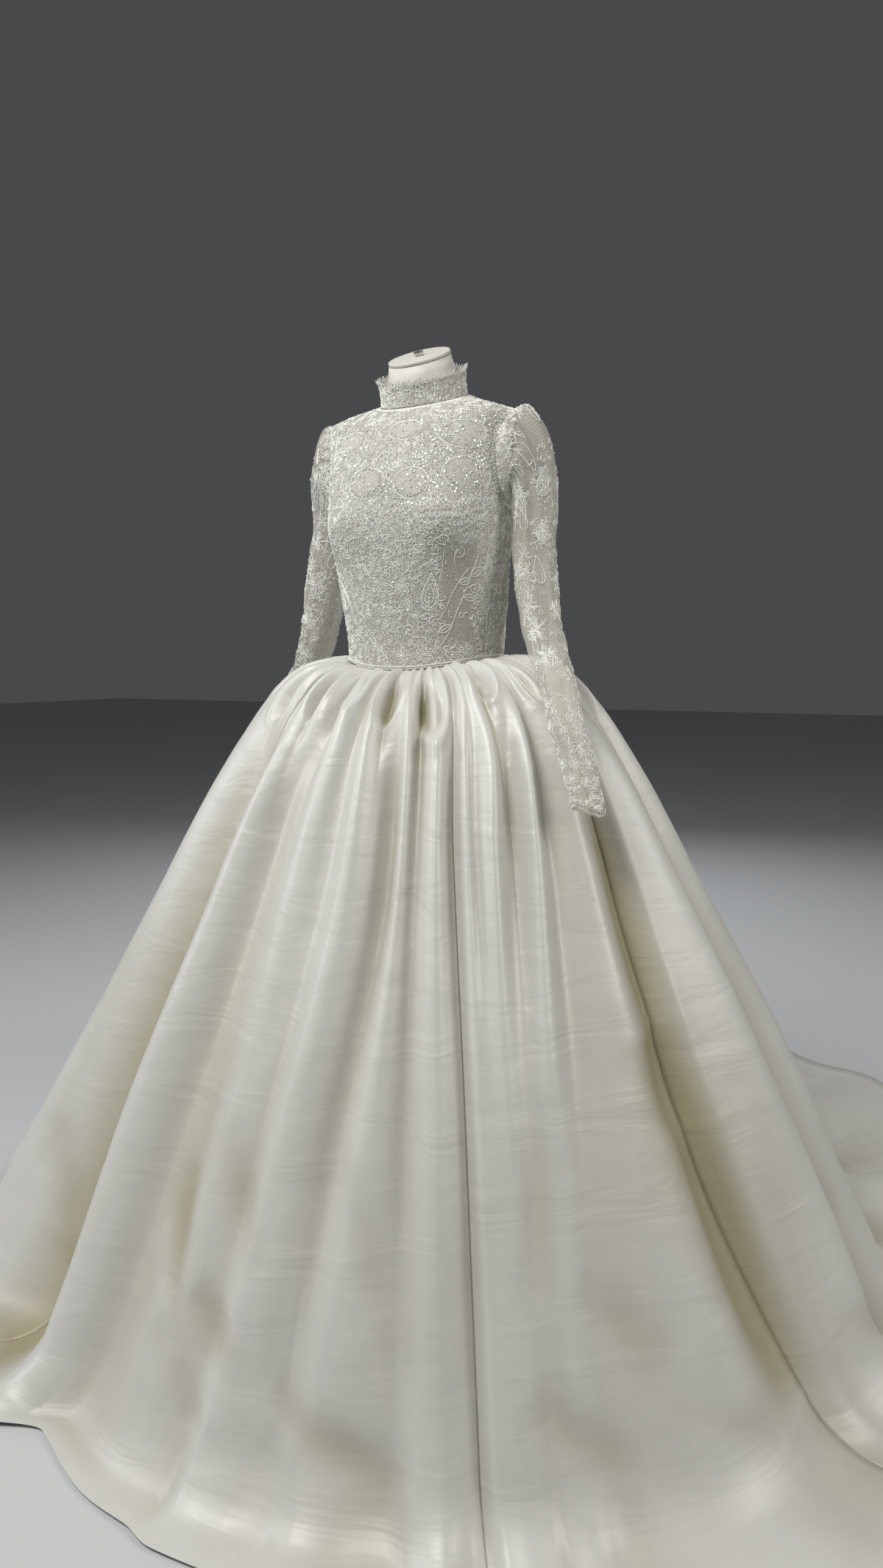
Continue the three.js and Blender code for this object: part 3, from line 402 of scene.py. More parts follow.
@dataclass(frozen=True)
class GlossFinish:
    """A small hard gloss piece: glass seed beads or foil sequins, whose gloss drifts a little."""

    name: str
    colour: str
    metallic: float
    roughness: float
    coat: float
    grain_mm: float = 3.0

    def material(self) -> bpy.types.Material:
        """Build the gloss, on Object coordinates in metres.

        Returns:
            The material.
        """
        m, shader = new_material(self.name)
        place = add_node(m, "TexCoord").outputs["Object"]
        drift = add_node(m, "TexNoise", {"Vector": place, "Scale": 1000 / self.grain_mm})
        limits = {"To Min": self.roughness * 0.7, "To Max": self.roughness * 1.4}
        feed(shader, {
            "Roughness": add_node(m, "MapRange", {"Value": drift, **limits}),
            "Base Color": linear(self.colour),
            "Metallic": self.metallic,
            "Coat Weight": self.coat,
        })
        return m


@dataclass(frozen=True)
class FormFinish:
    """The form's skin: white polyurethane foam shell with a smooth matt coat and an eggshell grain."""

    name: str = "form_skin_matt_white"
    colour: str = "#d0cec7"
    grain_mm: float = 0.9
    roughness: float = 0.55

    def material(self) -> bpy.types.Material:
        """Build the skin, on Object coordinates in metres.

        Returns:
            The material.
        """
        m, shader = new_material(self.name)
        place = add_node(m, "TexCoord").outputs["Object"]
        grain = add_node(m, "TexNoise", {"Vector": place, "Scale": 1000 / self.grain_mm, "Detail": 2.0})
        cloud = add_node(m, "TexNoise", {"Vector": place, "Scale": 18.0, "Detail": 3.0})
        feed(shader, {
            "Base Color": mottled(m, linear(self.colour), cloud, 0.95, 1.03),
            "Normal": add_node(m, "Bump", {"Height": grain, "Strength": 0.18, "Distance": 0.0004}),
            "Roughness": self.roughness,
        })
        return m


@dataclass(frozen=True)
class BrushedMetalFinish:
    """Brushed nickel of the stand, zip pull and neck fitting: fine lines round the turned parts."""

    name: str = "brushed_nickel"
    colour: str = "#b9b8b4"
    line_mm: float = 0.8
    roughness: float = 0.32

    def material(self) -> bpy.types.Material:
        """Build the metal, on Object coordinates in metres.

        Returns:
            The material.
        """
        m, shader = new_material(self.name)
        place = add_node(m, "TexCoord").outputs["Object"]
        drawn = add_node(m, "Mapping", {"Vector": place, "Scale": (40.0, 40.0, 1000 / self.line_mm)})
        lines = add_node(m, "TexNoise", {"Vector": drawn, "Scale": 1.0, "Detail": 3.0})
        limits = {"To Min": self.roughness - 0.1, "To Max": self.roughness + 0.1}
        feed(shader, {
            "Roughness": add_node(m, "MapRange", {"Value": lines, **limits}),
            "Normal": add_node(m, "Bump", {"Height": lines, "Strength": 0.12, "Distance": 0.0002}),
            "Base Color": linear(self.colour),
            "Metallic": 1.0,
        })
        return m


def make_mesh(
    name: str, points: Array, faces: Sequence[Array], material: bpy.types.Material, uv: Array | None = None
) -> bpy.types.Object:
    """A smooth mesh object from arrays.

    Args:
        name: the piece's name.
        points: its points in millimetres, one row each.
        faces: arrays of point numbers, one array for each number of corners.
        material: its finish.
        uv: for each point, its place on the flat cloth in metres.

    Returns:
        The object, at the origin.
    """
    mesh = bpy.data.meshes.new(name)
    mesh.vertices.add(len(points))
    mesh.vertices.foreach_set("co", (points * MM).astype(np.float32).ravel())
    corners = np.concatenate([f.ravel() for f in faces]).astype(np.int32)
    counts = np.concatenate([np.full(len(f), f.shape[1]) for f in faces])
    starts = np.concatenate([[0], np.cumsum(counts)[:-1]]).astype(np.int32)
    mesh.loops.add(len(corners))
    mesh.loops.foreach_set("vertex_index", corners)
    mesh.polygons.add(len(starts))
    mesh.polygons.foreach_set("loop_start", starts)
    mesh.update(calc_edges=True)
    mesh.validate()
    mesh.polygons.foreach_set("use_smooth", np.ones(len(mesh.polygons), bool))
    if uv is not None:
        layer = mesh.uv_layers.new(name="cloth")
        layer.data.foreach_set("uv", uv[corners].astype(np.float32).ravel())
    mesh.materials.append(material)
    piece = bpy.data.objects.new(name, mesh)
    bpy.context.scene.collection.objects.link(piece)
    return piece


def grid_faces(rows: int, columns: int, around: bool = False, flip: bool = False) -> Array:
    """Quads of a grid of points kept row after row.

    Args:
        rows: how many rows of points.
        columns: how many points in a row.
        around: whether the last column joins the first.
        flip: whether to turn the faces over.

    Returns:
        The quads' point numbers.
    """
    i, j = np.meshgrid(np.arange(rows - 1), np.arange(columns if around else columns - 1), indexing="ij")
    k = (j + 1) % columns
    quads = np.stack([i * columns + j, (i + 1) * columns + j, (i + 1) * columns + k, i * columns + k], -1)
    quads = quads.reshape(-1, 4)
    return quads[:, ::-1] if flip else quads


def clear_selection() -> None:
    """Deselect everything."""
    for other in bpy.context.selected_objects:
        other.select_set(False)


def only_active(piece: bpy.types.Object) -> None:
    """Select one object and nothing else.

    Args:
        piece: the object.
    """
    clear_selection()
    piece.select_set(True)
    bpy.context.view_layer.objects.active = piece


def primitive(add: Callable, name: str, **settings: object) -> bpy.types.Object:
    """Add one of Blender's primitives at the origin.

    Args:
        add: the operator that adds it.
        name: the object's name.
        settings: the operator's settings.

    Returns:
        The object.
    """
    clear_selection()
    add(location=(0, 0, 0), **settings)
    piece = bpy.context.active_object
    piece.name = name
    return piece


def reshape(turn: float | None = None, axis: str = "X", size: object = None, move: object = None) -> None:
    """Turn, scale and move the whole active mesh in edit mode, in that order and about the origin.

    Args:
        turn: an angle in radians.
        axis: what it turns round.
        size: the scale along each axis.
        move: how far it goes, in metres.
    """
    bpy.ops.object.mode_set(mode="EDIT")
    bpy.ops.mesh.select_all(action="SELECT")
    if turn is not None:
        bpy.ops.transform.rotate(value=turn, orient_axis=axis, center_override=(0, 0, 0))
    if size is not None:
        bpy.ops.transform.resize(value=size, center_override=(0, 0, 0))
    if move is not None:
        bpy.ops.transform.translate(value=move)
    bpy.ops.object.mode_set(mode="OBJECT")


def shade(piece: bpy.types.Object, degrees: float) -> None:
    """Shade a piece smooth, with the edges sharper than some degrees kept crisp."""
    only_active(piece)
    bpy.ops.object.shade_smooth_by_angle(angle=math.radians(degrees), keep_sharp_edges=False)


def apply_modifier(piece: bpy.types.Object, kind: str, **settings: object) -> None:
    """Add a modifier and apply it.

    Args:
        piece: the object.
        kind: the modifier's type.
        settings: its properties.
    """
    modifier = piece.modifiers.new(kind.lower(), kind)
    for key, value in settings.items():
        setattr(modifier, key, value)
    only_active(piece)
    bpy.ops.object.modifier_apply(modifier=modifier.name)


def thicken(piece: bpy.types.Object, wall: float) -> None:
    """Give a cloth its wall, inwards from its face."""
    apply_modifier(piece, "SOLIDIFY", thickness=wall * MM, offset=-1.0, use_rim=True)


def finish_piece(piece: bpy.types.Object, slot: Slot, *replaced: str) -> bpy.types.Object:
    """Ride a piece on the body, hide the CAD nodes that it stands for, and log it.

    Args:
        piece: the object.
        slot: its material slot; not used.
        replaced: names of CAD nodes.

    Returns:
        The piece.
    """
    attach(piece, BODY)
    if replaced:
        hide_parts(*replaced)
    triangles = sum(len(p.vertices) - 2 for p in piece.data.polygons)
    log.info("%s: %d triangles", piece.name, triangles)
    return piece


def dress_node(name: str, material: bpy.types.Material, degrees: float) -> None:
    """Give a CAD node that stays as it is the stand's metal, with edges past some degrees kept crisp.

    Args:
        name: the node's name.
        material: its finish.
        degrees: edges sharper than this stay crisp.
    """
    node = bpy.data.objects[name]
    node.data.materials.clear()
    node.data.materials.append(material)
    shade(node, degrees)


@dataclass(frozen=True)
class Cut:
    """A cloth's cut when flat: width and length in metres, and its area in square metres."""

    width: float
    length: float
    area: float

    def declare(self, piece: bpy.types.Object, held: Held) -> None:
        """Log a piece's cloth area beside this cut's area.

        Args:
            piece: the cloth.
            held: how it is held; not used.
        """
        face = sum(p.area for p in piece.data.polygons) / 2
        log.info("%s: %.3f of cloth for %.3f cut, in square metres", piece.name, face, self.area)


def paint(piece: bpy.types.Object, name: str, values: Array) -> None:
    """Give a cloth a value at each point of its face, and the same behind it.

    Args:
        piece: the cloth, whose first points are its face's.
        name: the attribute's name.
        values: the values of the face's points.
    """
    flat = values.ravel().astype(np.float32)
    attribute = piece.data.attributes.new(name, "FLOAT", "POINT")
    attribute.data.foreach_set("value", np.resize(flat, len(piece.data.vertices)))


def cloth_uv(points: Array) -> Array:
    """Each point's place on the flat cloth in metres, from the mean spacing of a grid's rows and columns.

    Args:
        points: the points in millimetres.

    Returns:
        A row of two for each point.
    """
    width = np.linalg.norm(np.diff(points, axis=1), axis=-1).mean(0)
    length = np.linalg.norm(np.diff(points, axis=0), axis=-1).mean(1)
    across = np.concatenate([[0], np.cumsum(width)]) * MM
    along = np.concatenate([[0], np.cumsum(length)]) * MM
    return np.stack(np.broadcast_arrays(across[None, :], along[:, None]), -1).reshape(-1, 2)


class ClothSurface:
    """A face of the garment that trims can be laid on, with two coordinates u and v."""

    u_step = 0.2
    v_step = 0.01

    def points(self, u: Array, v: Array) -> Array:
        """Points of the face in millimetres at u and v."""
        raise NotImplementedError

    def slopes(self, u: Array, v: Array) -> tuple[Array, Array]:
        """How the point moves for each unit of u and of v.

        Args:
            u: places across the face.
            v: places along it.

        Returns:
            Two arrays of vectors.
        """
        du = (self.points(u + self.u_step, v) - self.points(u - self.u_step, v)) / (2 * self.u_step)
        dv = (self.points(u, v + self.v_step) - self.points(u, v - self.v_step)) / (2 * self.v_step)
        return du, dv

    def normals(self, u: Array, v: Array) -> Array:
        """Outward unit normals at u and v."""
        du, dv = self.slopes(u, v)
        return unit(np.cross(du, dv))

    def keeps(self, u: Array, v: Array, points: Array) -> Array:
        """Whether a trim may lie there."""
        return np.ones(len(u), bool)


TORSO_ROWS = np.array([
    # half-width, side, front, front height, back, back height, squareness, middle x, middle y
    [
        WAIST_HALF_WIDTH, WAIST_HEIGHT, WAIST_FRONT, WAIST_HEIGHT - WAIST_DIP, WAIST_BACK, WAIST_HEIGHT,
        2, 0, 0,
    ],
    [134, 1097, 108, 1084, 99, 1098, 2.05, 0, -1],
    [139, 1150, 112, 1142, 103, 1152, 2.1, 0, -4],
    [145, 1210, 115, 1204, 107, 1212, 2.15, -1, -9],
    [150, 1278, 119, 1276, 112, 1282, 2.2, -2, -13],
    [151, 1335, 117, 1332, 117, 1340, 2.25, -3, -15],
    [151, 1380, 107, 1376, 118, 1392, 2.3, -3, -14],
    [154, 1416, 95, 1408, 112, 1430, 2.3, -3, -11],
    [161, 1448, 85, 1433, 100, 1464, 2.2, -3, -8],
    [134, 1464, 78, 1444, 88, 1482, 2.1, -3, -5],
    [100, 1475, 73, 1452, 78, 1497, 2, -3, -3],
    [70, 1484, 71, 1458, 72, 1507, 2, -3, 0],
])
TORSO_TOP = 11.0
SHOULDER_ROW = 8.0


@dataclass
class Torso(ClothSurface):
    """The bodice's outer face: u is the angle round the body, v is the row of TORSO_ROWS."""

    bust_angle: float = 33.0
    bust_spread_angle: float = 21.0
    bust_height: float = 1276.0
    bust_spread: float = 47.0
    bust_depth: float = 17.0
    armhole_y: float = -5.0
    armhole_z: float = 1380.0
    armhole_half_width: float = 47.0
    armhole_half_height: float = 72.0
    armhole_inner: float = 112.0

    def points(self, u: Array, v: Array) -> Array:
        """Points of the face at angles u and rows v.

        Args:
            u: places across the face.
            v: places along it.

        Returns:
            The points in millimetres.
        """
        rows = np.arange(len(TORSO_ROWS))
        (half, side, front, front_z, back, back_z, square, mid_x, mid_y) = (
            smooth_curve(v, rows, TORSO_ROWS[:, k]) for k in range(TORSO_ROWS.shape[1])
        )
        sine = np.sin(np.radians(u))
        cosine = np.cos(np.radians(u))
        power = 2 / square
        across = np.sign(sine) * np.abs(sine) ** power
        ahead = np.sign(cosine) * np.abs(cosine) ** power
        depth = np.where(cosine > 0, front, back)
        facing_z = np.where(cosine > 0, front_z, back_z)
        levelling = 2 - np.clip((v - SHOULDER_ROW) / 3, 0, 1)
        height = side + (facing_z - side) * np.abs(cosine) ** levelling
        rise = np.exp(-(((height - self.bust_height) / self.bust_spread) ** 2))
        left = np.exp(-(((u - self.bust_angle) / self.bust_spread_angle) ** 2))
        right = np.exp(-(((u + self.bust_angle) / self.bust_spread_angle) ** 2))
        swell = self.bust_depth * rise * (left + right)
        return np.stack(
            [mid_x + half * across + swell * sine, mid_y - depth * ahead - swell * cosine, height], -1
        )

    def in_armhole(self, points: Array, room: float = 0.0) -> Array:
        """Whether points lie in an armhole, or within some room of its edge.

        Args:
            points: the points in millimetres.
            room: how far past the edge still counts.

        Returns:
            True for each point that does.
        """
        y = (points[..., 1] - self.armhole_y) / (self.armhole_half_width + room)
        z = (points[..., 2] - self.armhole_z) / (self.armhole_half_height + room)
        return (np.abs(points[..., 0]) > self.armhole_inner) & (y * y + z * z < 1)

    def keeps(self, u: Array, v: Array, points: Array) -> Array:
        """Trims stay off the armholes and within the waist and collar seams."""
        return ~self.in_armhole(points, 0.6) & (v > 0.02) & (v < TORSO_TOP - 0.02)


# Skirt. The tables repeat the part's driving sizes.
SIDE_DROP = [0, 6, 20, 50, 105, 190, 250, 376, 505, 640, 800, 905, 1000, 1070]
SIDE_OUT = [0, 0.05, 0.118, 0.185, 0.262, 0.346, 0.396, 0.496, 0.604, 0.709, 0.82, 0.89, 0.955, 1]
FLOOR_ANGLE = [-180, -150, -120, -90, -72, -55, -40, -32, -24, 0, 30, 60, 90, 112, 135, 155, 180]
FLOOR_RADIUS = [980, 945, 905, 860, 800, 726, 682, 658, 640, 620, 640, 702, 762, 785, 865, 945, 980]
HEM_RADIUS = [1520, 1330, 1100, 950, 885, 800, 800, 765, 695, 700, 770, 870, 950, 1040, 1190, 1370, 1520]
TOE_HEIGHT = 70.0
FOLD_DROP = [50, 250, 600, 1050]
SIDE_LENGTH = 1000.0
TOE_BEND = 38.0
TOE_REACH = 75.0
HEM_FOLLOWS = 0.6


@dataclass(frozen=True)
class Fold:
    """A ridge or valley line down the skirt, in order round the body.

    at: its angle at each drop of FOLD_DROP. out: how far out of the skirt's side it lies there.
    lift: how high its hem lies off the floor. columns: steps of the part's wall to the next line.
    crisp: how sharp it is, up to 1.
    """

    name: str
    at: tuple[float, float, float, float]
    out: tuple[float, float, float, float]
    lift: float
    columns: int
    crisp: float = 0.0


FOLDS = [
    Fold("centre_back", (-180, -180, -180, -180), (-7, -30, -42, -34), 0, 4),
    Fold("back_ridge_1", (-170, -169, -168, -167), (4, 9, 15, 24), 14, 4),
    Fold("back_valley_1", (-159, -158, -157, -157), (-8, -34, -40, -34), 0, 4),
    Fold("back_ridge_2", (-149, -148, -147, -146), (4, 12, 18, 20), 9, 3),
    Fold("side_back_right", (-140, -139, -138, -138), (-8, -28, -44, -40), 0, 4),
    Fold("right_ridge_1", (-130, -129, -128, -127), (4, 10, 14, 20), 16, 3),
    Fold("right_valley_1", (-120, -119, -118, -118), (-8, -32, -44, -38), 0, 4),
    Fold("right_ridge_2", (-110, -109, -107, -106), (4, 12, 17, 22), 12, 4),
    Fold("side_right", (-99, -98, -97, -97), (-8, -26, -38, -34), 0, 4),
    Fold("right_ridge_3", (-88, -87, -86, -88), (4, 10, 16, 30), 45, 4),
    Fold("right_valley_3", (-76, -75, -75, -78), (-8, -24, -32, -20), 10, 5),
    Fold("fold_a", (-60, -60, -61, -67), (4, 12, 21, 66), 12, 5),
    Fold("side_front_right", (-38, -45, -45, -44), (-9, -46, -72, -76), 0, 4),
    Fold("fold_b", (-25, -29.5, -30.5, -32), (4, 12, 14, 16), 10, 6),
    Fold("valley_b", (-14, -20, -21, -24), (-8, -27, -36, -30), 2, 3),
    Fold("ridge_c1", (-5, -7, -8, -11), (5, 2, -10, -10), 2, 3),
    Fold("valley_c1", (1, 1, -2, -5), (-5, -12, -12, -12), 4, 3),
    Fold("ridge_c2", (7, 8, 4, -1), (5, 10, 8, 2), 3, 4),
    Fold("valley_c3", (18, 18, 13, 8), (-8, -36, -26, -12), 2, 2),
    Fold("ridge_c3", (22, 21.5, 18, 13), (0, -5, 0, 0), 3, 2),
    Fold("valley_c4", (26, 25, 24, 23), (-6, -17, -18, -14), 2, 3),
    Fold("ridge_c4", (31.5, 30, 29, 29.5), (5, 8, 10, 10), 6, 3),
    Fold("crease_front_left", (38, 35, 34.3, 34), (-8, -20, -18, -15), 0, 2, 0.35),
    Fold("ridge_l", (41, 37.5, 36.3, 36), (3, 6, 5, 4), 2, 2),
    Fold("valley_l1", (45, 40, 38.3, 38.3), (-7, -7, 6, 6), 2, 2),
    Fold("ridge_l1", (50.5, 43.5, 40.5, 40.5), (4, 9, 8, 6), 4, 2),
    Fold("valley_l2", (56.5, 50.3, 44.3, 42.5), (-8, -24, -6, -1), 2, 2),
    Fold("ridge_l2", (60.5, 54, 47.2, 44.5), (3, 5, 0, 0), 3, 2),
    Fold("valley_l3", (65, 60, 53.4, 49), (-7, -24, -20, -11), 2, 3),
    Fold("plane_l4", (71, 67, 65, 67), (3, -2, -4, 0), 4, 2),
    Fold("side_front_left", (78, 77, 73.5, 78.5), (-8, -30, -44, -36), 0, 2, 0.8),
    Fold("edge_d", (82, 81, 77.5, 82.5), (0, -8, -14, -10), 2, 4),
    Fold("ridge_d", (90, 89.5, 90, 92), (5, 12, 12, 14), 10, 4),
    Fold("valley_e", (99, 98, 100, 101), (-8, -30, -36, -30), 0, 4),
    Fold("ridge_e", (109, 109, 111, 112), (4, 10, 14, 18), 16, 4),
    Fold("side_left", (119, 119, 121, 122), (-8, -34, -44, -40), 0, 4),
    Fold("ridge_f", (129, 130, 131, 132), (4, 11, 17, 20), 10, 4),
    Fold("valley_f", (139, 140, 142, 142), (-8, -30, -42, -38), 0, 4),
    Fold("ridge_g", (150, 151, 152, 152), (4, 10, 18, 24), 18, 3),
    Fold("valley_g", (160, 161, 161, 161), (-8, -28, -36, -30), 0, 3),
    Fold("ridge_h", (170, 170, 170, 170), (4, 9, 16, 20), 8, 4),
]


@dataclass(frozen=True)
class Hollow:
    """A U-shaped hollow that the gathers leave under the waist seam, with a rolled rim.

    angle and drop: its middle. wide and tall: its half-sizes. deep: how far it goes in.
    """

    angle: float
    drop: float
    wide: float
    tall: float
    deep: float


@dataclass(frozen=True)
class Crease:
    """A soft trough or ridge in the satin, from one place to another.

    angles and drops: its two ends. wide: its half-width. deep: how far in it goes, or out if below 0.
    """

    angles: tuple[float, float]
    drops: tuple[float, float]
    wide: float
    deep: float


HOLLOWS = [
    Hollow(11.7, 46, 19, 34, 9.5), Hollow(30.4, 58, 22, 47, 11.5), Hollow(53.5, 28, 12, 24, 9.0),
    Hollow(-6.0, 34, 13, 26, 7.0), Hollow(-24.0, 40, 15, 34, 9.0), Hollow(-48.0, 50, 19, 42, 11.0),
    Hollow(70.0, 36, 13, 30, 8.0), Hollow(101.0, 52, 19, 42, 9.0), Hollow(124.0, 32, 13, 26, 8.0),
    Hollow(143.0, 46, 16, 38, 10.0), Hollow(166.0, 52, 20, 44, 8.0), Hollow(-72.0, 38, 16, 32, 5.0),
    Hollow(-92.0, 46, 19, 40, 7.0), Hollow(-116.0, 54, 20, 46, 8.5), Hollow(-140.0, 38, 14, 32, 9.0),
    Hollow(-162.0, 48, 17, 40, 7.5),
]

# Creases as rows of two angles, two drops, half-width and depth.
CREASE_ROWS = [
    # Soft toes where the front meets the floor.
    (-8, 7, 840, 962, 30, 11), (7, 26, 940, 1000, 26, 9), (-2, 12, 900, 985, 26, -7),
    (-14, -2, 900, 1000, 28, 9), (18, 24, 840, 985, 28, -6), (40, 52, 900, 1000, 30, 8),
    (56, 70, 930, 1000, 26, 5), (84, 100, 940, 1000, 26, 6), (-52, -38, 945, 1000, 24, 6),
    (-96, -80, 935, 1000, 26, 6), (124, 142, 930, 1000, 28, 6), (-160, -140, 930, 1000, 28, 6),
    (-126, -110, 940, 1000, 26, 5), (152, 172, 940, 1000, 28, 6),
    # The broad lit and shaded ground of the lower front.
    (-17, -11, 700, 930, 30, 9), (-20, -6, 800, 985, 22, -7), (-9, 3, 640, 800, 34, 6),
    (5, 12, 700, 900, 26, -5), (16, 21, 640, 820, 24, 5), (48, 58, 780, 900, 34, 6),
    (-58, -50, 760, 930, 32, 7), (96, 106, 720, 900, 34, 7), (132, 140, 700, 900, 34, 7),
    (-152, -143, 740, 920, 34, 7), (-104, -96, 700, 880, 34, 7),
    # Thin handling creases.
    (9.9, 8.9, 795, 945, 3.2, 1.3), (-4.5, 10, 822, 806, 4, 1.2), (49, 53.5, 902, 876, 4.5, 1.3),
    (25.4, 31.8, 107, 116, 5, 2.2), (24.8, 32.4, 126, 134, 7, 1.6), (-6, 1, 470, 476, 5, 1),
    (-3, 6, 560, 572, 5, 1), (44, 52, 640, 655, 6, 1.2), (57, 63, 720, 700, 6, 1.2),
    (66, 74, 520, 548, 8, 1.6), (81, 88, 610, 590, 8, 1.8), (-40, -33, 760, 742, 6, 1.5),
    (-66, -57, 560, 580, 8, 1.6), (106, 114, 660, 640, 7, 1.4), (145, 153, 520, 545, 7, 1.4),
    (-152, -143, 600, 575, 7, 1.4), (-112, -103, 480, 500, 7, 1.4),
    # The broad slope into the left side's fold, and its like on the other side and the back.
    (74.5, 70.5, 150, 640, 42, 15), (70, 74.5, 520, 1000, 52, 24), (-41, -43, 200, 900, 36, 8),
    (121, 124, 220, 960, 44, 12), (-121, -119, 240, 940, 44, 11),
    # Long soft drags that run with the fall.
    (46.6, 42, 560, 800, 26, 5), (61, 66, 470, 860, 34, 4), (3, -3, 420, 760, 20, 3),
    (26.5, 26, 540, 900, 14, 3), (-15, -14, 520, 880, 26, 4), (86, 84, 380, 820, 30, 4),
    (-56, -58, 420, 860, 30, 4), (170, 168, 400, 860, 30, 4), (-127, -125, 380, 840, 30, 4),
]
CREASES = [Crease((a, b), (c, d), wide, deep) for a, b, c, d, wide, deep in CREASE_ROWS]


@dataclass
class SkirtShape:
    """The skirt's face in terms of a column round it and a row down it."""

    seed: int = 11
    small_gathers: int = 66
    pipes: int = 29
    small_depth: float = 3.8
    pipe_depth: float = 11.5
    seam_puff: float = 3.6

    def __post_init__(self) -> None:
        """Work out where the fold lines start and how uneven the gathers are."""
        self.starts = np.concatenate([[0], np.cumsum([f.columns for f in FOLDS])])
        self.total = int(self.starts[-1])
        draws = np.random.default_rng(self.seed)
        self.small_size = draws.uniform(0.35, 1.5, self.small_gathers)
        self.pipe_size = draws.uniform(0.45, 1.45, self.pipes)
        self.pipe_length = draws.uniform(130, 380, self.pipes)
        self.pipe_shift = draws.uniform(-0.28, 0.28, self.pipes)
        self.wave_phase = draws.uniform(0, 2 * math.pi, (9, 2))
        self.wave_count = draws.uniform(5, 31, 9)
        self.wave_drop = draws.uniform(0.0015, 0.0075, 9)

    def column_of(self, name: str) -> float:
        """The column where a fold line lies."""
        return float(self.starts[[f.name for f in FOLDS].index(name)])

    @staticmethod
    def waist_radius(angle: Array) -> Array:
        """The waist's radius at an angle.

        Args:
            angle: angles round the body.

        Returns:
            The radius.
        """
        turn = np.radians(angle)
        depth = np.where(np.cos(turn) > 0, WAIST_FRONT, WAIST_BACK)
        return 1 / np.hypot(np.sin(turn) / WAIST_HALF_WIDTH, np.cos(turn) / depth)

    def fold_at(self, column: Array, drop: Array) -> tuple[Array, Array, Array]:
        """Angle, depth and hem lift at columns and drops.

        Args:
            column: columns round the skirt, one row.
            drop: drops down it, one column.

        Returns:
            Three arrays, with a row for each drop.
        """
        column = np.mod(np.ravel(column), self.total)
        line = np.clip(np.searchsorted(self.starts, column, side="right") - 1, 0, len(FOLDS) - 1)
        after = (line + 1) % len(FOLDS)
        turn = np.where(line + 1 == len(FOLDS), 360.0, 0.0)
        counts = np.array([f.columns for f in FOLDS])
        part = (column - self.starts[line]) / counts[line]
        deep = np.maximum(drop, FOLD_DROP[0])
        at = np.stack([smooth_curve(deep[:, 0], FOLD_DROP, f.at) for f in FOLDS], 1)
        out = np.stack([smooth_curve(deep[:, 0], FOLD_DROP, f.out) for f in FOLDS], 1)
        lift = np.array([f.lift for f in FOLDS], float)
        crisp = np.array([f.crisp for f in FOLDS])
        ease = smooth_step(part)
        ease = ease + (np.sin(part * math.pi / 2) - ease) * crisp[line]
        ease = ease + (1 - np.cos(part * math.pi / 2) - ease) * crisp[after]
        angle = at[:, line] + (at[:, after] + turn - at[:, line]) * part
        depth = (out[:, line] + (out[:, after] - out[:, line]) * ease) * np.minimum(1, drop / FOLD_DROP[0])
        return angle, depth, lift[line] + (lift[after] - lift[line]) * ease

    @staticmethod
    def uneven(turns: Array, count: int, values: Array) -> Array:
        """One value for each of some waves round the waist, blended from wave to wave.

        Args:
            turns: places round the waist, in whole turns.
            count: how many waves.
            values: one value for each wave.

        Returns:
            A value for each place.
        """
        place = np.mod(turns, 1.0) * count
        i = np.floor(place).astype(int) % count
        part = smooth_step(place - np.floor(place))
        return values[i] * (1 - part) + values[(i + 1) % count] * part

    def gathers(self, angle: Array, drop: Array) -> Array:
        """How far the gathers stand out: tight ones at the seam, which run together into rounder pipes.

        Args:
            angle: angles round the body.
            drop: drops below the waist.

        Returns:
            Millimetres, outwards.
        """
        turns = angle / 360.0
        tight = 2 * np.sqrt(np.sin(math.pi * turns * self.small_gathers) ** 2 + 0.02) - 1
        tight_rise = smooth_curve(drop, [0, 2, 10, 30, 75], [0, 0.9, 1, 0.6, 0])
        uneven_size = self.uneven(turns, self.small_gathers, self.small_size)
        small = self.small_depth * tight * tight_rise * uneven_size
        shift = self.uneven(turns, self.pipes, self.pipe_shift)
        wave = np.abs(np.sin(math.pi * (turns * self.pipes + shift)))
        rounded = np.sqrt(wave * wave + 0.01)
        length = self.uneven(turns, self.pipes, self.pipe_length)
        reach = drop / length
        fall = smooth_curve(reach, [0, 0.04, 0.15, 0.45, 1.0], [0, 0.6, 1.0, 0.45, 0])
        pipes = self.pipe_depth * (rounded - 0.55) * 2 * fall * self.uneven(turns, self.pipes, self.pipe_size)
        puff = self.seam_puff * smooth_curve(drop, [0, 1.5, 6, 20, 45], [0, 0.7, 1, 0.6, 0])
        return small + pipes + puff * uneven_size

    def softness(self, angle: Array, drop: Array) -> Array:
        """Slow unevenness of the hanging cloth.

        Args:
            angle: angles round the body.
            drop: drops below the waist.

        Returns:
            Millimetres, outwards.
        """
        total = np.zeros(np.broadcast(angle, drop).shape)
        for (phase, shift), count, rate in zip(self.wave_phase, self.wave_count, self.wave_drop):
            across = np.sin(np.radians(angle) * round(count) + phase + drop * rate)
            total += across * np.cos(drop * rate * 1.7 + shift)
        return total * 0.75 * smooth_curve(drop, [0, 120, 500, 1000], [0, 0.4, 1.0, 1.2])

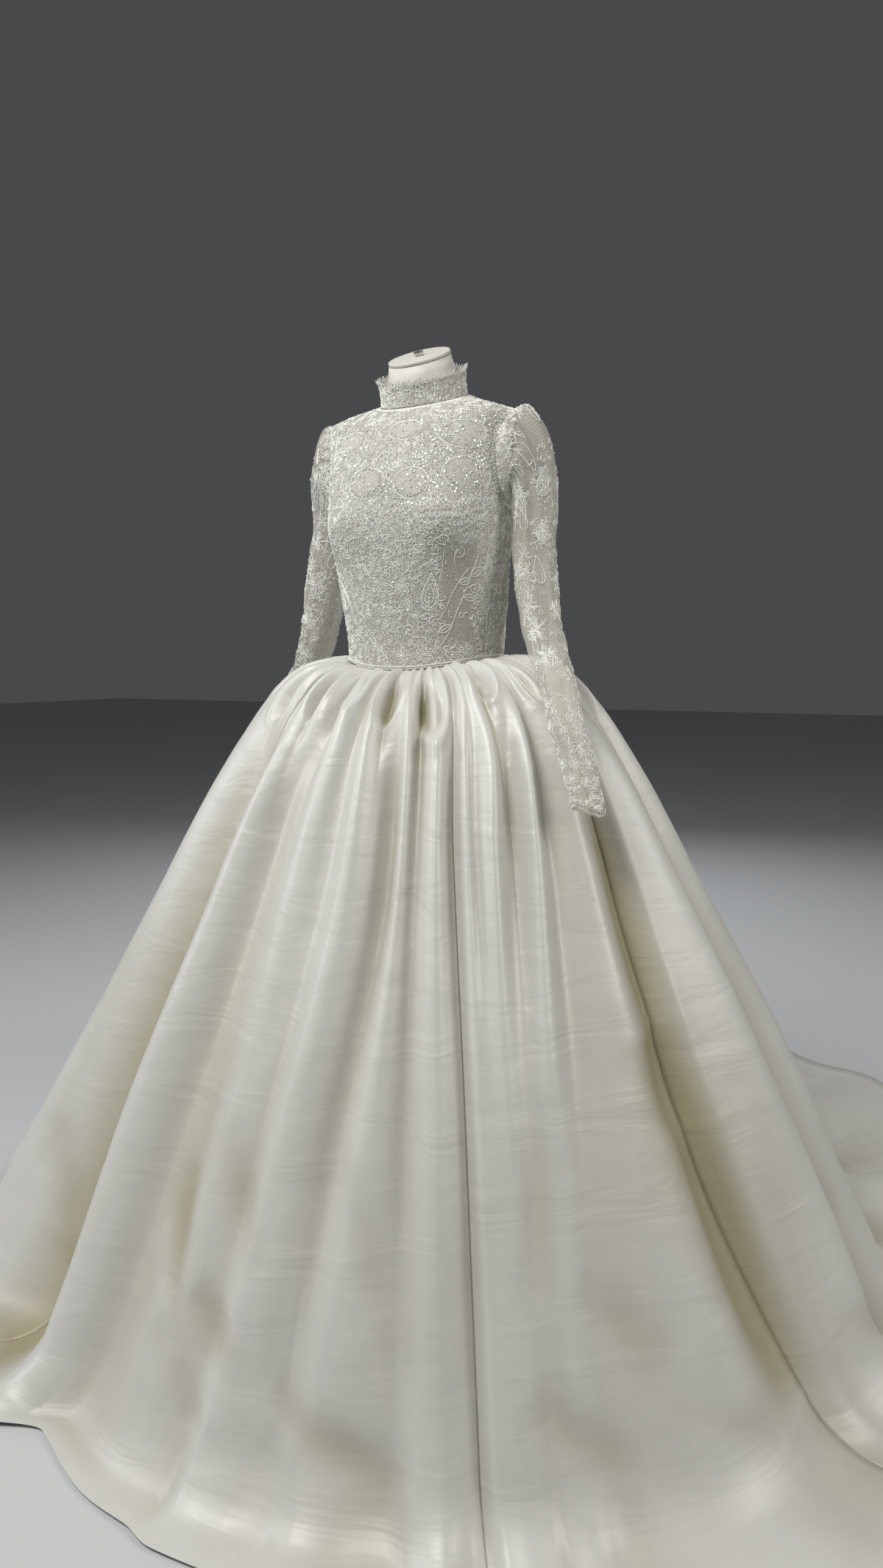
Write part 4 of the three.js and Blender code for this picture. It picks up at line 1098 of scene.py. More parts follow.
    def dents(self, angle: Array, drop: Array, radius: Array) -> Array:
        """The hollows' and creases' depth, inwards.

        Args:
            angle: angles round the body.
            drop: drops below the waist.
            radius: the side's radius at each point.

        Returns:
            Millimetres, inwards.
        """
        total = np.zeros(angle.shape)
        for h in HOLLOWS:
            apart = angle_between(angle, h.angle)
            across = np.radians(apart) * radius / h.wide
            down = (drop - h.drop) / h.tall
            away = np.sqrt(across**2 + down**2)
            near = away < 2.2
            bowl = smooth_step((1.05 - away) / 0.55) * h.deep
            rim = np.exp(-(((away - 1.12) / 0.2) ** 2)) * h.deep * 0.34
            total += np.where(near, (bowl - rim) * smooth_step(drop / 16), 0)
        for c in CREASES:
            apart = angle_between(angle, sum(c.angles) / 2)
            x = np.radians(apart) * radius
            half_turn = np.radians((c.angles[1] - c.angles[0]) / 2)
            ax = -half_turn * radius
            bx = half_turn * radius
            dx = bx - ax
            dy = c.drops[1] - c.drops[0]
            t = ((x - ax) * dx + (drop - c.drops[0]) * dy) / (dx * dx + dy * dy)
            line_x = ax + dx * np.clip(t, 0, 1)
            line_y = c.drops[0] + dy * np.clip(t, 0, 1)
            gap = np.hypot(x - line_x, drop - line_y)
            taper = np.sqrt(np.clip(np.sin(math.pi * np.clip(t, 0.0, 1.0)), 0, 1))
            front = np.abs(apart) < 90
            total += np.where(front, c.deep * np.exp(-((gap / c.wide) ** 2)) * taper, 0)
        return total

    def side_radius(self, angle: Array, drop: Array) -> Array:
        """The side's radius without folds.

        Args:
            angle: angles round the body.
            drop: drops below the waist.

        Returns:
            The radius.
        """
        waist = self.waist_radius(angle)
        around = angle_between(angle, 0)
        floor = smooth_curve(around, FLOOR_ANGLE, FLOOR_RADIUS)
        return waist + (floor - waist) * smooth_curve(drop, SIDE_DROP, SIDE_OUT)

    def side(self, column: Array, drop: Array) -> tuple[Array, Array, Array, Array]:
        """Angle, radius and height down the side, and the painted shade of each point, from how deep it lies
        in a fold, a gather valley, a hollow or a crease.

        Args:
            column: columns round the skirt, one row.
            drop: drops down it, one column.

        Returns:
            Four arrays, with a row for each drop.
        """
        angle, out, _ = self.fold_at(column, drop)
        waist = self.waist_radius(angle)
        front = np.maximum(0, waist * np.cos(np.radians(angle)) / WAIST_FRONT) ** 2
        top = WAIST_HEIGHT - WAIST_DIP * front - SEAM_GAP
        scale = (top - TOE_HEIGHT) / SIDE_LENGTH
        step = 4.0
        radius = self.side_radius(angle, drop)
        tilt = np.arctan2(self.side_radius(angle, drop + step) - radius, step)
        gather = self.gathers(angle, drop)
        stand = gather - self.dents(angle, drop, radius) + self.softness(angle, drop) * (drop > 0)
        # painted shade: darker where folds, gather valleys, hollows and creases go in
        depth = np.clip(np.maximum(0, -out) / 84 + np.maximum(0, -stand) / 20, 0, 1)
        return angle, radius + out + stand * np.cos(tilt), top - drop * scale + stand * np.sin(tilt), depth

    def grid(self, column: Array, drops: Array, bends: Array, trains: Array) -> tuple[Array, Array]:
        """Points of the skirt's face from the waist to the hem.

        Args:
            column: columns round the skirt.
            drops: drops down its side.
            bends: parts of the bend at the floor.
            trains: parts of what lies on the floor.

        Returns:
            The points and the painted fold shade, with a row for each drop, bend and train value.
        """
        angle, radius, height, depth = self.side(column, drops[:, None])
        last_angle, last_radius, last_height, last_painted_shade = (
            a[-1:] for a in self.side(column, np.array([[0.0], [SIDE_LENGTH]]))
        )
        low_angle, out, lift = self.fold_at(column, np.array([[FOLD_DROP[3]]], float))
        around = angle_between(low_angle, 0)
        hem = smooth_curve(around, FLOOR_ANGLE, HEM_RADIUS) + HEM_FOLLOWS * out
        corner = last_radius + TOE_BEND
        toe = corner + np.minimum(TOE_REACH, 0.5 * (hem - corner))
        ripple = np.maximum(0, out + 8)
        wave = 3.0 * np.sin(np.radians(low_angle) * 23) + 2.0 * np.sin(np.radians(low_angle) * 41 + 1)
        t = bends[:, None]
        bend_radius = (1 - t) ** 2 * last_radius + 2 * t * (1 - t) * corner + t * t * toe
        bend_height = (1 - t) ** 2 * last_height + (1 - (1 - t) ** 2) * (SATIN_WALL + ripple)
        turn = last_angle + (low_angle - last_angle) * smooth_step(t)
        s = trains[:, None]
        train_radius = toe + (hem - toe) * s
        swell = np.maximum(0, wave) * np.sin(math.pi * s) * np.clip((hem - toe) / 150, 0, 1)
        roll = 1.2 * smooth_step((s - 0.93) / 0.07)
        train_height = SATIN_WALL + ripple + (lift - ripple) * s + swell + roll
        angles = np.concatenate([angle, turn, np.broadcast_to(low_angle, train_radius.shape)])
        radii = np.concatenate([radius, bend_radius, train_radius])
        heights = np.concatenate([height, bend_height, train_height])
        # painted shade down the side and the bend, fading out across the train
        painted_shades = np.concatenate(
            [depth, np.broadcast_to(last_painted_shade, bend_radius.shape), last_painted_shade * (1 - s) + 0 * train_radius]
        )
        turns = np.radians(angles)
        return np.stack([radii * np.sin(turns), -radii * np.cos(turns), heights], -1), painted_shades


@dataclass(frozen=True)
class Gore:
    """One gore of the skirt, between two fold lines, and its cut."""

    name: str
    start: str
    end: str
    cut: Cut


GORES = [
    Gore("skirt_back_right", "centre_back", "side_back_right", Cut(1.15, 1.75, 1.03)),
    Gore("skirt_side_back_right", "side_back_right", "side_right", Cut(1.0, 1.3, 0.8)),
    Gore("skirt_side_right", "side_right", "side_front_right", Cut(0.9, 1.2, 0.76)),
    Gore("skirt_front", "side_front_right", "crease_front_left", Cut(1.1, 1.15, 0.88)),
    Gore("skirt_side_front_left", "crease_front_left", "side_front_left", Cut(0.72, 1.15, 0.57)),
    Gore("skirt_side_left", "side_front_left", "side_left", Cut(0.85, 1.25, 0.71)),
    Gore("skirt_back_left", "side_left", "centre_back", Cut(1.4, 1.75, 1.38)),
]


@dataclass
class Skirt:
    """The seven satin gores, with their gathers, folds and train."""

    satin: bpy.types.Material
    shape: SkirtShape = field(default_factory=SkirtShape)
    steps_per_column: int = 5
    seam_half_gap: float = 0.05

    def rows(self) -> tuple[Array, Array, Array]:
        """Rows of the finer wall: close together at the gathers and wider down the side.

        Returns:
            Drops, parts of the bend and parts of the train.
        """
        upper = np.concatenate([np.linspace(0, 60, 21), np.linspace(64, 150, 18), np.linspace(158, 330, 17)])
        lower = np.linspace(346, SIDE_LENGTH, 44)
        return np.concatenate([upper, lower]), np.linspace(0, 1, 8)[1:], np.linspace(0, 1, 12)[1:]

    def build(self) -> list[bpy.types.Object]:
        """Build every gore.

        Returns:
            The gores' objects.
        """
        return [self.gore(g) for g in GORES]

    def gore(self, gore: Gore) -> bpy.types.Object:
        """Build one gore.

        Args:
            gore: its name, edges and cut.

        Returns:
            Its object.
        """
        start = self.shape.column_of(gore.start)
        end = self.shape.column_of(gore.end)
        if end <= start:
            end += self.shape.total
        count = int(round((end - start) * self.steps_per_column)) + 1
        columns = np.linspace(start, end, count)
        drops, bends, trains = self.rows()
        points, depth = self.shape.grid(columns, drops, bends, trains)
        side = unit(np.stack([-points[..., 1], points[..., 0], 0 * points[..., 0]], -1))
        points[:, 0] += side[:, 0] * self.seam_half_gap
        points[:, -1] -= side[:, -1] * self.seam_half_gap
        flat = points.reshape(-1, 3)
        faces = [grid_faces(len(points), count)]
        piece = make_mesh(f"{gore.name}_satin", flat, faces, self.satin, cloth_uv(points) * [1, -1])
        # painted shade of the folds and gathers, mixed into the satin's colour as a darker olive
        paint(piece, "fold_painted_shade", depth)
        thicken(piece, SATIN_WALL * CLOTH_SHARE)
        gore.cut.declare(piece, Held.GATHERED)
        return finish_piece(piece, Slot.SATIN, gore.name)


# Collar: height above its seam, radius across and along, tilt, and how far its middle leans back.
COLLAR_RISE = [0.5, 12.0, 24.0, 36.0]
COLLAR_ACROSS = [69.5, 68.5, 68.5, 70.5]
COLLAR_ALONG = [71, 69.5, 69, 71]
COLLAR_TILT = [19, 20, 20.5, 21]
COLLAR_BACK = [0, -2.5, -5, -7]
COLLAR_OPEN = 0.5


@dataclass
class Collar(ClothSurface):
    """The stand collar's outer face: u is the angle round the neck, v is the height above its seam."""

    middle_x: float = -3.0
    middle_z: float = 1483.0
    v_step: float = 0.4

    def points(self, u: Array, v: Array) -> Array:
        """Points of the face at angles u and rises v.

        Args:
            u: places across the face.
            v: places along it.

        Returns:
            The points in millimetres.
        """
        tables = (COLLAR_ACROSS, COLLAR_ALONG, COLLAR_TILT, COLLAR_BACK)
        across, along, tilt, back = (smooth_curve(v, COLLAR_RISE, values) for values in tables)
        turn = np.radians(u)
        y = -np.cos(turn) * along
        height = self.middle_z + v + y * np.tan(np.radians(tilt))
        return np.stack([self.middle_x + across * np.sin(turn), back + y, height], -1)

    def keeps(self, u: Array, v: Array, points: Array) -> Array:
        """Trims stay between the seam, the top edge and the opening."""
        return (np.abs(u) < 178.4) & (v > 1.2) & (v < 35.4)

    def build(self, lace: bpy.types.Material) -> bpy.types.Object:
        """Build the band of lace, open at its back.

        Args:
            lace: its finish.

        Returns:
            Its object.
        """
        u = np.linspace(-180 + COLLAR_OPEN, 180 - COLLAR_OPEN, 129)
        v = np.linspace(COLLAR_RISE[0], COLLAR_RISE[-1], 15)
        piece = cloth_grid("collar_lace", self, u, v, lace, LACE_WALL * CLOTH_SHARE)
        paint(piece, "lace_thickness", np.full(len(u) * len(v), 0.9))
        Cut(0.45, 0.036, 0.0162).declare(piece, Held.STRETCHED)
        return finish_piece(piece, Slot.LACE, "collar")


# The sleeves' rings from head to wrist: middle x, y and z, half-width, half-depth and slope.
LEFT_SLEEVE = [
    [172, -4, 1388, 51, 71, 8], [182, -2, 1372, 50, 55, 28], [188, 4, 1340, 44, 37, 66],
    [189, 7, 1300, 39, 35, 84], [191, 1, 1244, 38, 34, 84], [199, -8, 1188, 37, 33, 80],
    [210, -18, 1140, 35, 31, 76], [225, -32, 1095, 34, 29, 72], [245, -53, 1056, 33, 26, 66],
    [270, -85, 1018, 33, 23, 64], [290, -113, 978, 31, 21, 62], [311, -131, 937, 30, 20, 62],
    [329, -150, 897, 28, 18, 62], [341, -160, 868, 27, 17, 62],
]
RIGHT_SLEEVE = [
    [-174, -4, 1388, 51, 71, 6], [-180, -2, 1372, 49, 50, 24], [-187, 6, 1340, 43, 34, 66],
    [-190, 14, 1300, 38, 33, 84], [-203, 22, 1244, 38, 34, 80], [-217, 27, 1188, 37, 33, 80],
    [-228, 32, 1140, 35, 32, 78], [-243, 39, 1095, 34, 30, 72], [-267, 53, 1056, 33, 27, 60],
    [-311, 83, 1018, 32, 24, 50], [-350, 107, 975, 31, 22, 48], [-381, 125, 930, 30, 20, 54],
    [-411, 140, 887, 28, 19, 58], [-428, 149, 857, 27, 18, 58],
]
CUFF_POINT = 24.0
HEAD_NEST = 0.9


@dataclass
class Sleeve(ClothSurface):
    """A sleeve's outer face: u is the angle round it, 90 at its outer side, and v the ring from its head."""

    side: int
    rows: list
    torso: Torso
    wrinkle: float = 1.3

    def __post_init__(self) -> None:
        """Find the seam ring on the bodice's armhole."""
        self.table = np.array(self.rows, float)
        self.last = float(len(self.rows))
        self.seam_angles = np.arange(0, 360, 4.0)
        turn = np.radians(self.seam_angles)
        y = self.torso.armhole_y + self.side * (self.torso.armhole_half_width - HEAD_NEST) * np.cos(turn)
        z = self.torso.armhole_z + (self.torso.armhole_half_height - HEAD_NEST) * np.sin(turn)
        self.seam = np.stack([self.bodice_side_at(y, z) - self.side, y, z], -1)

    def bodice_side_at(self, y: Array, z: Array) -> Array:
        """X of the bodice's face where it passes through y and z, found step by step.

        Args:
            y: places ahead or behind.
            z: heights.

        Returns:
            X for each place.
        """
        angle = np.full(y.shape, self.side * 90.0)
        row = np.full(y.shape, 6.0)
        step = 0.05
        for _ in range(40):
            here = self.torso.points(angle, row)
            by_angle = (self.torso.points(angle + step, row) - here) / step
            by_row = (self.torso.points(angle, row + step) - here) / step
            determinant = by_angle[:, 1] * by_row[:, 2] - by_angle[:, 2] * by_row[:, 1]
            miss_y = y - here[:, 1]
            miss_z = z - here[:, 2]
            turn = (miss_y * by_row[:, 2] - miss_z * by_row[:, 1]) / determinant
            climb = (by_angle[:, 1] * miss_z - by_angle[:, 2] * miss_y) / determinant
            angle = angle + np.clip(turn, -8, 8)
            row = np.clip(row + np.clip(climb, -0.6, 0.6), 3, 9.5)
        return self.torso.points(angle, row)[:, 0]

    def ring_frame(self, v: Array) -> tuple[Array, ...]:
        """Centre, half-sizes and directions of the ring at v.

        Args:
            v: places along it.

        Returns:
            Centre, two half-sizes, and the directions sideways, outward and along.
        """
        rings = np.arange(1, len(self.rows) + 1)
        place = np.clip(v, 1, self.last)
        x, y, z, across, deep, slope = (smooth_curve(place, rings, self.table[:, k]) for k in range(6))
        round_angle = np.arctan2(x, -y)
        zero = np.zeros(x.shape)
        sideways = np.stack([np.cos(round_angle), np.sin(round_angle), zero], -1)
        away = np.stack([np.sin(round_angle), -np.cos(round_angle), zero], -1)
        down = np.array([0.0, 0.0, -1.0])
        tilt = np.radians(slope)[..., None]
        along = away * np.cos(tilt) + down * np.sin(tilt)
        outward = away * np.sin(tilt) - down * np.cos(tilt)
        return np.stack([x, y, z], -1), across, deep, sideways, outward, along

    def wrinkles(self, u: Array, v: Array) -> Array:
        """Soft slanting wrinkles of the net, strongest at the head and the elbow.

        Args:
            u: places across the face.
            v: places along it.

        Returns:
            Millimetres, outwards.
        """
        turn = np.radians(u)
        slant = np.sin(2 * turn + v * 2.3 + self.side) * np.sin(v * 3.1 + turn)
        lengthwise = np.sin(5 * turn + 0.8 * np.sin(v * 1.3)) * 0.7
        head = smooth_curve(v, [0, 0.6, 2.4, 5, 8, 10, 12, 14], [0, 0.5, 1.2, 0.6, 1.2, 1.3, 0.5, 0])
        folds = np.sin(7 * turn + 1.3 * v) * smooth_curve(v, [0, 0.3, 1.3, 3.2], [0, 1.0, 1.0, 0])
        return self.wrinkle * (head * (slant + lengthwise) + 0.9 * folds)

    def points(self, u: Array, v: Array) -> Array:
        """Points of the face at angles u and rings v.

        Args:
            u: places across the face.
            v: places along it.

        Returns:
            The points in millimetres.
        """
        turn = np.radians(u)
        centre, across, deep, sideways, outward, along = self.ring_frame(v)
        late = np.clip((v - 1 - (self.last - 4)) / 3, 0, 1)
        reach = CUFF_POINT * late * np.maximum(0, np.sin(turn)) ** 1.5
        lift = self.wrinkles(u, v)
        ring = (
            centre
            + sideways * ((across + lift) * np.cos(turn))[..., None]
            + outward * ((deep + lift) * np.sin(turn))[..., None]
            + along * reach[..., None]
        )
        whole = np.mod(u, 360)
        seam = [np.interp(whole, self.seam_angles, self.seam[:, k], period=360) for k in range(3)]
        part = np.clip(v, 0, 1)[..., None]
        past = along * (np.maximum(v - self.last, 0) * 30)[..., None]
        return np.stack(seam, -1) * (1 - part) + ring * part + past

    def keeps(self, u: Array, v: Array, points: Array) -> Array:
        """Trims stay between the armhole seam and the cuff."""
        return (v > 0.06) & (v < self.last - 0.03)

    def build(self, name: str, tulle: bpy.types.Material) -> bpy.types.Object:
        """Build the sleeve's net.

        Args:
            name: the CAD node that it stands for.
            tulle: its finish.

        Returns:
            Its object.
        """
        u = np.linspace(0, 360, 72, endpoint=False)
        v = np.concatenate([[0, 0.12, 0.3, 0.5, 0.75], np.linspace(1, self.last, 70)])
        piece = cloth_grid(f"{name}_tulle", self, u, v, tulle, TULLE_WALL * TULLE_SHARE, around=True)
        Cut(0.33, 0.66, 0.16335).declare(piece, Held.HUNG)
        return finish_piece(piece, Slot.TULLE, name)


def cloth_grid(
    name: str,
    surface: ClothSurface,
    u: Array,
    v: Array,
    material: bpy.types.Material,
    wall: float,
    around: bool = False,
) -> bpy.types.Object:
    """A cloth wall on a surface.

    Args:
        name: the piece's name.
        surface: the face that it follows.
        u: its columns.
        v: its rows.
        material: its finish.
        wall: its thickness in millimetres.
        around: whether the last column joins the first.

    Returns:
        The cloth's object, closed.
    """
    points = surface.points(*np.meshgrid(u, v))
    faces = [grid_faces(len(v), len(u), around=around, flip=True)]
    piece = make_mesh(name, points.reshape(-1, 3), faces, material, cloth_uv(points))
    thicken(piece, wall)
    return piece


@dataclass
class Bodice:
    """The lined lace bodice: a front and two backs that meet under the closure."""

    torso: Torso
    lace: bpy.types.Material
    margin: float = 0.12
    rows: int = 89
    bar_length: float = 0.6

    def cut_armholes(self, piece: bpy.types.Object) -> None:
        """Cut both armholes with an elliptical bar along X.

        Args:
            piece: the object.
        """
        t = self.torso
        cylinder = bpy.ops.mesh.primitive_cylinder_add
        bar = primitive(cylinder, "armhole_bar", vertices=96, radius=1.0, depth=1.0)
        size = (self.bar_length, t.armhole_half_width * MM, t.armhole_half_height * MM)
        reshape(math.pi / 2, "Y", size, (0, t.armhole_y * MM, t.armhole_z * MM))
        apply_modifier(piece, "BOOLEAN", operation="DIFFERENCE", object=bar, solver="EXACT")
        bpy.data.objects.remove(bar)

    def panel(self, name: str, low: float, high: float, columns: int, cut: Cut) -> bpy.types.Object:
        """One panel between two angles round the body.

        Args:
            name: the CAD node that it stands for.
            low: the angle at its right edge.
            high: the angle at its left edge.
            columns: how many steps it has across.
            cut: its cut.

        Returns:
            Its object.
        """
        u = np.linspace(low + self.margin, high - self.margin, columns + 1)
        v = np.linspace(0, TORSO_TOP, self.rows)
        piece = cloth_grid(f"{name}_lace", self.torso, u, v, self.lace, LACE_WALL * CLOTH_SHARE)
        uu, vv = np.meshgrid(u, v)
        points = self.torso.points(uu, vv)
        paint(piece, "lace_thickness", self.torso.density(uu, vv, points))
        paint(piece, "lace_plain", self.torso.plain(uu, points))
        self.cut_armholes(piece)
        cut.declare(piece, Held.STRETCHED)
        return finish_piece(piece, Slot.LACE, name)

    def build(self) -> list[bpy.types.Object]:
        """Build the three panels."""
        return [
            self.panel("bodice_front", -90, 90, 116, Cut(0.5, 0.44, 0.176)),
            self.panel("bodice_back_left", 90, 180, 40, Cut(0.25, 0.46, 0.092)),
            self.panel("bodice_back_right", -180, -90, 40, Cut(0.25, 0.46, 0.092)),
        ]


@dataclass
class Form:
    """The white form with its neck cap, on a nickel stand."""

    skin: bpy.types.Material
    metal: bpy.types.Material
    sides: int = 96
    hip_rows: tuple = (
        (120, 80, 88, 812, 6),
        (160, 104, 116, 826, 6),
        (172, 114, 126, 876, 6),
        (168, 116, 122, 940, 6),
        (148, 108, 108, 1006, 5),
    )
    neck_rows: tuple = ((64, 65.5, 64.5, 1483, -0.5), (59.5, 61, 59, 1500, -1.5), (55, 57, 55, 1518, -5))
    neck_tilt: float = 27.0
    cap_middle: tuple = (-5.0, -12.0, 1547.0)
    cap_half_width: float = 50.0
    cap_depth: float = 48.0
    cap_thickness: float = 5.0
    cap_rim: float = 1.3

    def ring(self, row: Sequence[float], mid_x: float, tilt: float) -> Array:
        """An oval ring of the hips or the neck.

        Args:
            row: half-width, front, back, height and middle.
            mid_x: its middle's x.
            tilt: how far it leans back, in degrees.

        Returns:
            The ring's points.
        """
        half, front, back, height, middle = row
        turn = np.radians(np.linspace(-180, 180, self.sides, endpoint=False))
        y = -np.cos(turn) * np.where(np.cos(turn) > 0, front, back)
        z = height + y * math.tan(math.radians(tilt))
        return np.stack([mid_x + half * np.sin(turn), middle + y, z], -1)

    def torso(self) -> bpy.types.Object:
        """The body: a circle extruded ring by ring, then smoothed.

        Returns:
            Its object.
        """
        shape = Torso()
        angles = np.linspace(-180, 180, self.sides, endpoint=False)
        rows = np.concatenate([[0], np.arange(2.0, 11.01, 0.5)])
        uu, vv = np.meshgrid(angles, rows)
        body = shape.points(uu, vv) - shape.normals(uu, vv) * FORM_CLEARANCE
        hips = [self.ring(row, 1, 0) for row in self.hip_rows]
        neck = [self.ring(row, self.cap_middle[0], self.neck_tilt - 4) for row in self.neck_rows]
        mid_x, mid_y, top = self.cap_middle
        top_row = (self.cap_half_width, self.cap_depth, self.cap_depth, top - SEAM_GAP, mid_y)
        rings = [*hips, *body, *neck, self.ring(top_row, mid_x, self.neck_tilt)]
        rings = self.blended(rings)
        circle = bpy.ops.mesh.primitive_circle_add
        piece = primitive(circle, "form_body", vertices=self.sides, radius=1.0, fill_type="NGON")
        bpy.ops.object.mode_set(mode="EDIT")
        bpy.ops.mesh.select_all(action="SELECT")
        bpy.ops.mesh.flip_normals()
        for _ in range(len(rings) - 1):
            bpy.ops.mesh.extrude_region_move(TRANSFORM_OT_translate={"value": (0, 0, 1)})
        bpy.ops.object.mode_set(mode="OBJECT")
        self.wrap(piece, rings)
        piece.data.materials.clear()
        piece.data.materials.append(self.skin)
        for polygon in piece.data.polygons:
            polygon.use_smooth = len(polygon.vertices) == 4
        return finish_piece(piece, Slot.SKIN, "form_torso")

    @staticmethod
    def blended(rings: list[Array]) -> list[Array]:
        """Rings with a smooth one put between each two, so that the body has no facets.

        Args:
            rings: the rings, from the lowest.

        Returns:
            The finer list of rings.
        """
        stack = np.array(rings)
        places = np.arange(len(rings))
        fine = np.linspace(0, len(rings) - 1, 2 * len(rings) - 1)
        flat = stack.reshape(len(rings), -1)
        lines = np.stack([smooth_curve(fine, places, flat[:, k]) for k in range(flat.shape[1])], -1)
        return list(lines.reshape(len(fine), *stack.shape[1:]))

    @staticmethod
    def wrap(piece: bpy.types.Object, rings: list[Array]) -> None:
        """Move a stack of extruded circles onto rings, level by level.

        Args:
            piece: the object.
            rings: the rings, from the lowest.
        """
        mesh = piece.data
        count = len(mesh.vertices)
        places = np.empty(count * 3)
        mesh.vertices.foreach_get("co", places)
        places = places.reshape(-1, 3)
        level = np.rint(places[:, 2]).astype(int)
        turn = np.arctan2(places[:, 0], -places[:, 1])
        sides = len(rings[0])
        column = np.mod(np.rint((turn + math.pi) / (2 * math.pi) * sides).astype(int), sides)
        moved = np.array(rings)[level, column] * MM
        mesh.vertices.foreach_set("co", moved.ravel())
        mesh.update()

    def cap(self) -> bpy.types.Object:
        """The neck's cap: a cylinder with a softened rim, tilted down to the front.

        Returns:
            Its object.
        """
        cylinder = bpy.ops.mesh.primitive_cylinder_add
        piece = primitive(cylinder, "neck_cap_disc", vertices=self.sides, radius=1.0, depth=1.0)
        tilt = math.radians(self.neck_tilt)
        size = (self.cap_half_width * MM, self.cap_depth / math.cos(tilt) * MM, self.cap_thickness * MM)
        reshape(size=size)
        rim = self.cap_rim * MM
        apply_modifier(piece, "BEVEL", width=rim, segments=4, limit_method="ANGLE", angle_limit=0.9)
        normal = Vector((0, -math.sin(tilt), math.cos(tilt)))
        middle = Vector(self.cap_middle) + normal * (self.cap_thickness / 2 + SEAM_GAP)
        # With no window, rotate turns the other way.
        reshape(-tilt, "X", move=middle * MM)
        piece.data.materials.append(self.skin)
        shade(piece, 40)
        return finish_piece(piece, Slot.SKIN, "neck_cap")

    def build(self) -> None:
        """Build the form and give the stand its metal."""
        self.torso()
        self.cap()
        for name in ("stand_base", "stand_pole", "neck_socket"):
            dress_node(name, self.metal, 35)


@dataclass
class Closure:
    """The back's closure: covered buttons on the collar and the zip's pull."""

    satin: bpy.types.Material
    metal: bpy.types.Material

    def build(self) -> None:
        """Round the buttons and give them and the pull their finishes."""
        for name in ("collar_button_1", "collar_button_2"):
            self.button(name)
        dress_node("zip_pull", self.metal, 30)

    def button(self, name: str) -> bpy.types.Object:
        """A domed button covered in satin, in its CAD node's place.

        Args:
            name: its CAD node's name.

        Returns:
            Its object.
        """
        low, high = (np.array(corner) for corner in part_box(name))
        middle = (low + high) / 2
        radius = (high[0] - low[0]) / 2
        sphere = bpy.ops.mesh.primitive_uv_sphere_add
        piece = primitive(sphere, f"{name}_dome", segments=32, ring_count=16, radius=radius)
        bpy.ops.object.mode_set(mode="EDIT")
        bpy.ops.mesh.select_all(action="SELECT")
        bpy.ops.mesh.bisect(plane_co=(0, 0, 0), plane_no=(0, 1, 0), clear_inner=True, use_fill=True)
        bpy.ops.object.mode_set(mode="OBJECT")
        reshape(size=(1, (high[1] - low[1]) / radius, 1), move=(middle[0], low[1], middle[2]))
        apply_modifier(piece, "BEVEL", width=0.4 * MM, segments=2, limit_method="ANGLE", angle_limit=0.7)
        piece.data.materials.append(self.satin)
        shade(piece, 50)
        return finish_piece(piece, Slot.BUTTON, name)


LEAF_SHARE = 0.23  # a leaf's width for its length
CORD = 0.62  # half-width of the wandering cords
STRAND_POINTS = 5  # of an eyelash thread


# A motif is a set of cord lines, beads and padded spots in millimetres about its own middle, with Y up.
@dataclass
class Motif:
    """A small lace motif.

    lines: cords as (points, half-width). beads: (x, y, radius). pads: (x, y, half-length, half-width, turn).
    """

    lines: list = field(default_factory=list)
    beads: list = field(default_factory=list)
    pads: list = field(default_factory=list)

    def turned(self, degrees: float, size: float = 1.0) -> "Motif":
        """The motif turned and scaled.

        Args:
            degrees: how far it turns.
            size: the scale.

        Returns:
            The new motif.
        """
        turn = math.radians(degrees)
        matrix = size * np.array([[math.cos(turn), math.sin(turn)], [-math.sin(turn), math.cos(turn)]])
        return Motif(
            [(np.asarray(line) @ matrix, width) for line, width in self.lines],
            [(*(np.array([x, y]) @ matrix), radius) for x, y, radius in self.beads],
            [(*(np.array([x, y]) @ matrix), a * size, b * size, t + degrees) for x, y, a, b, t in self.pads],
        )


def teardrop(width: float, length: float, curl: float = 0.0, count: int = 22) -> Array:
    """A closed teardrop outline with its round end down and its tip up, bent aside by curl.

    Args:
        width: its half-width.
        length: its length.
        curl: how far its tip is bent aside.
        count: how many points.

    Returns:
        The outline's points.
    """
    t = np.linspace(0, 2 * math.pi, count)
    x = width * np.sin(t) * np.sin(t / 2) ** 1.3
    y = length / 2 * np.cos(t)
    up = (y / length + 0.5) ** 2
    return np.stack([x + curl * up, y], -1)


def flower(radius: float, petals: int = 6) -> Motif:
    """An open flower: looped petals with a vein and a satin-stitched heart in each, round a knot of beads.

    Args:
        radius: its radius.
        petals: how many petals.

    Returns:
        The motif.
    """
    motif = Motif()
    for k in range(petals):
        turn = 360 / petals * k
        petal = teardrop(radius * 0.34, radius * 0.78, 0.0, 13) * [1, -1] + [0, radius * 0.6]
        one = Motif([(petal, 0.55)], [], [(0, radius * 0.66, radius * 0.2, radius * 0.1, 90)])
        one.lines.append((np.array([[0, radius * 0.2], [radius * 0.02, radius * 0.45]]), 0.4))
        one = one.turned(turn)
        motif.lines += one.lines
        motif.pads += one.pads
        angle = math.radians(turn)
        motif.beads.append((math.sin(angle) * radius * 0.17, math.cos(angle) * radius * 0.17, 1.1))
    motif.beads.append((0, 0, 1.5))
    return motif


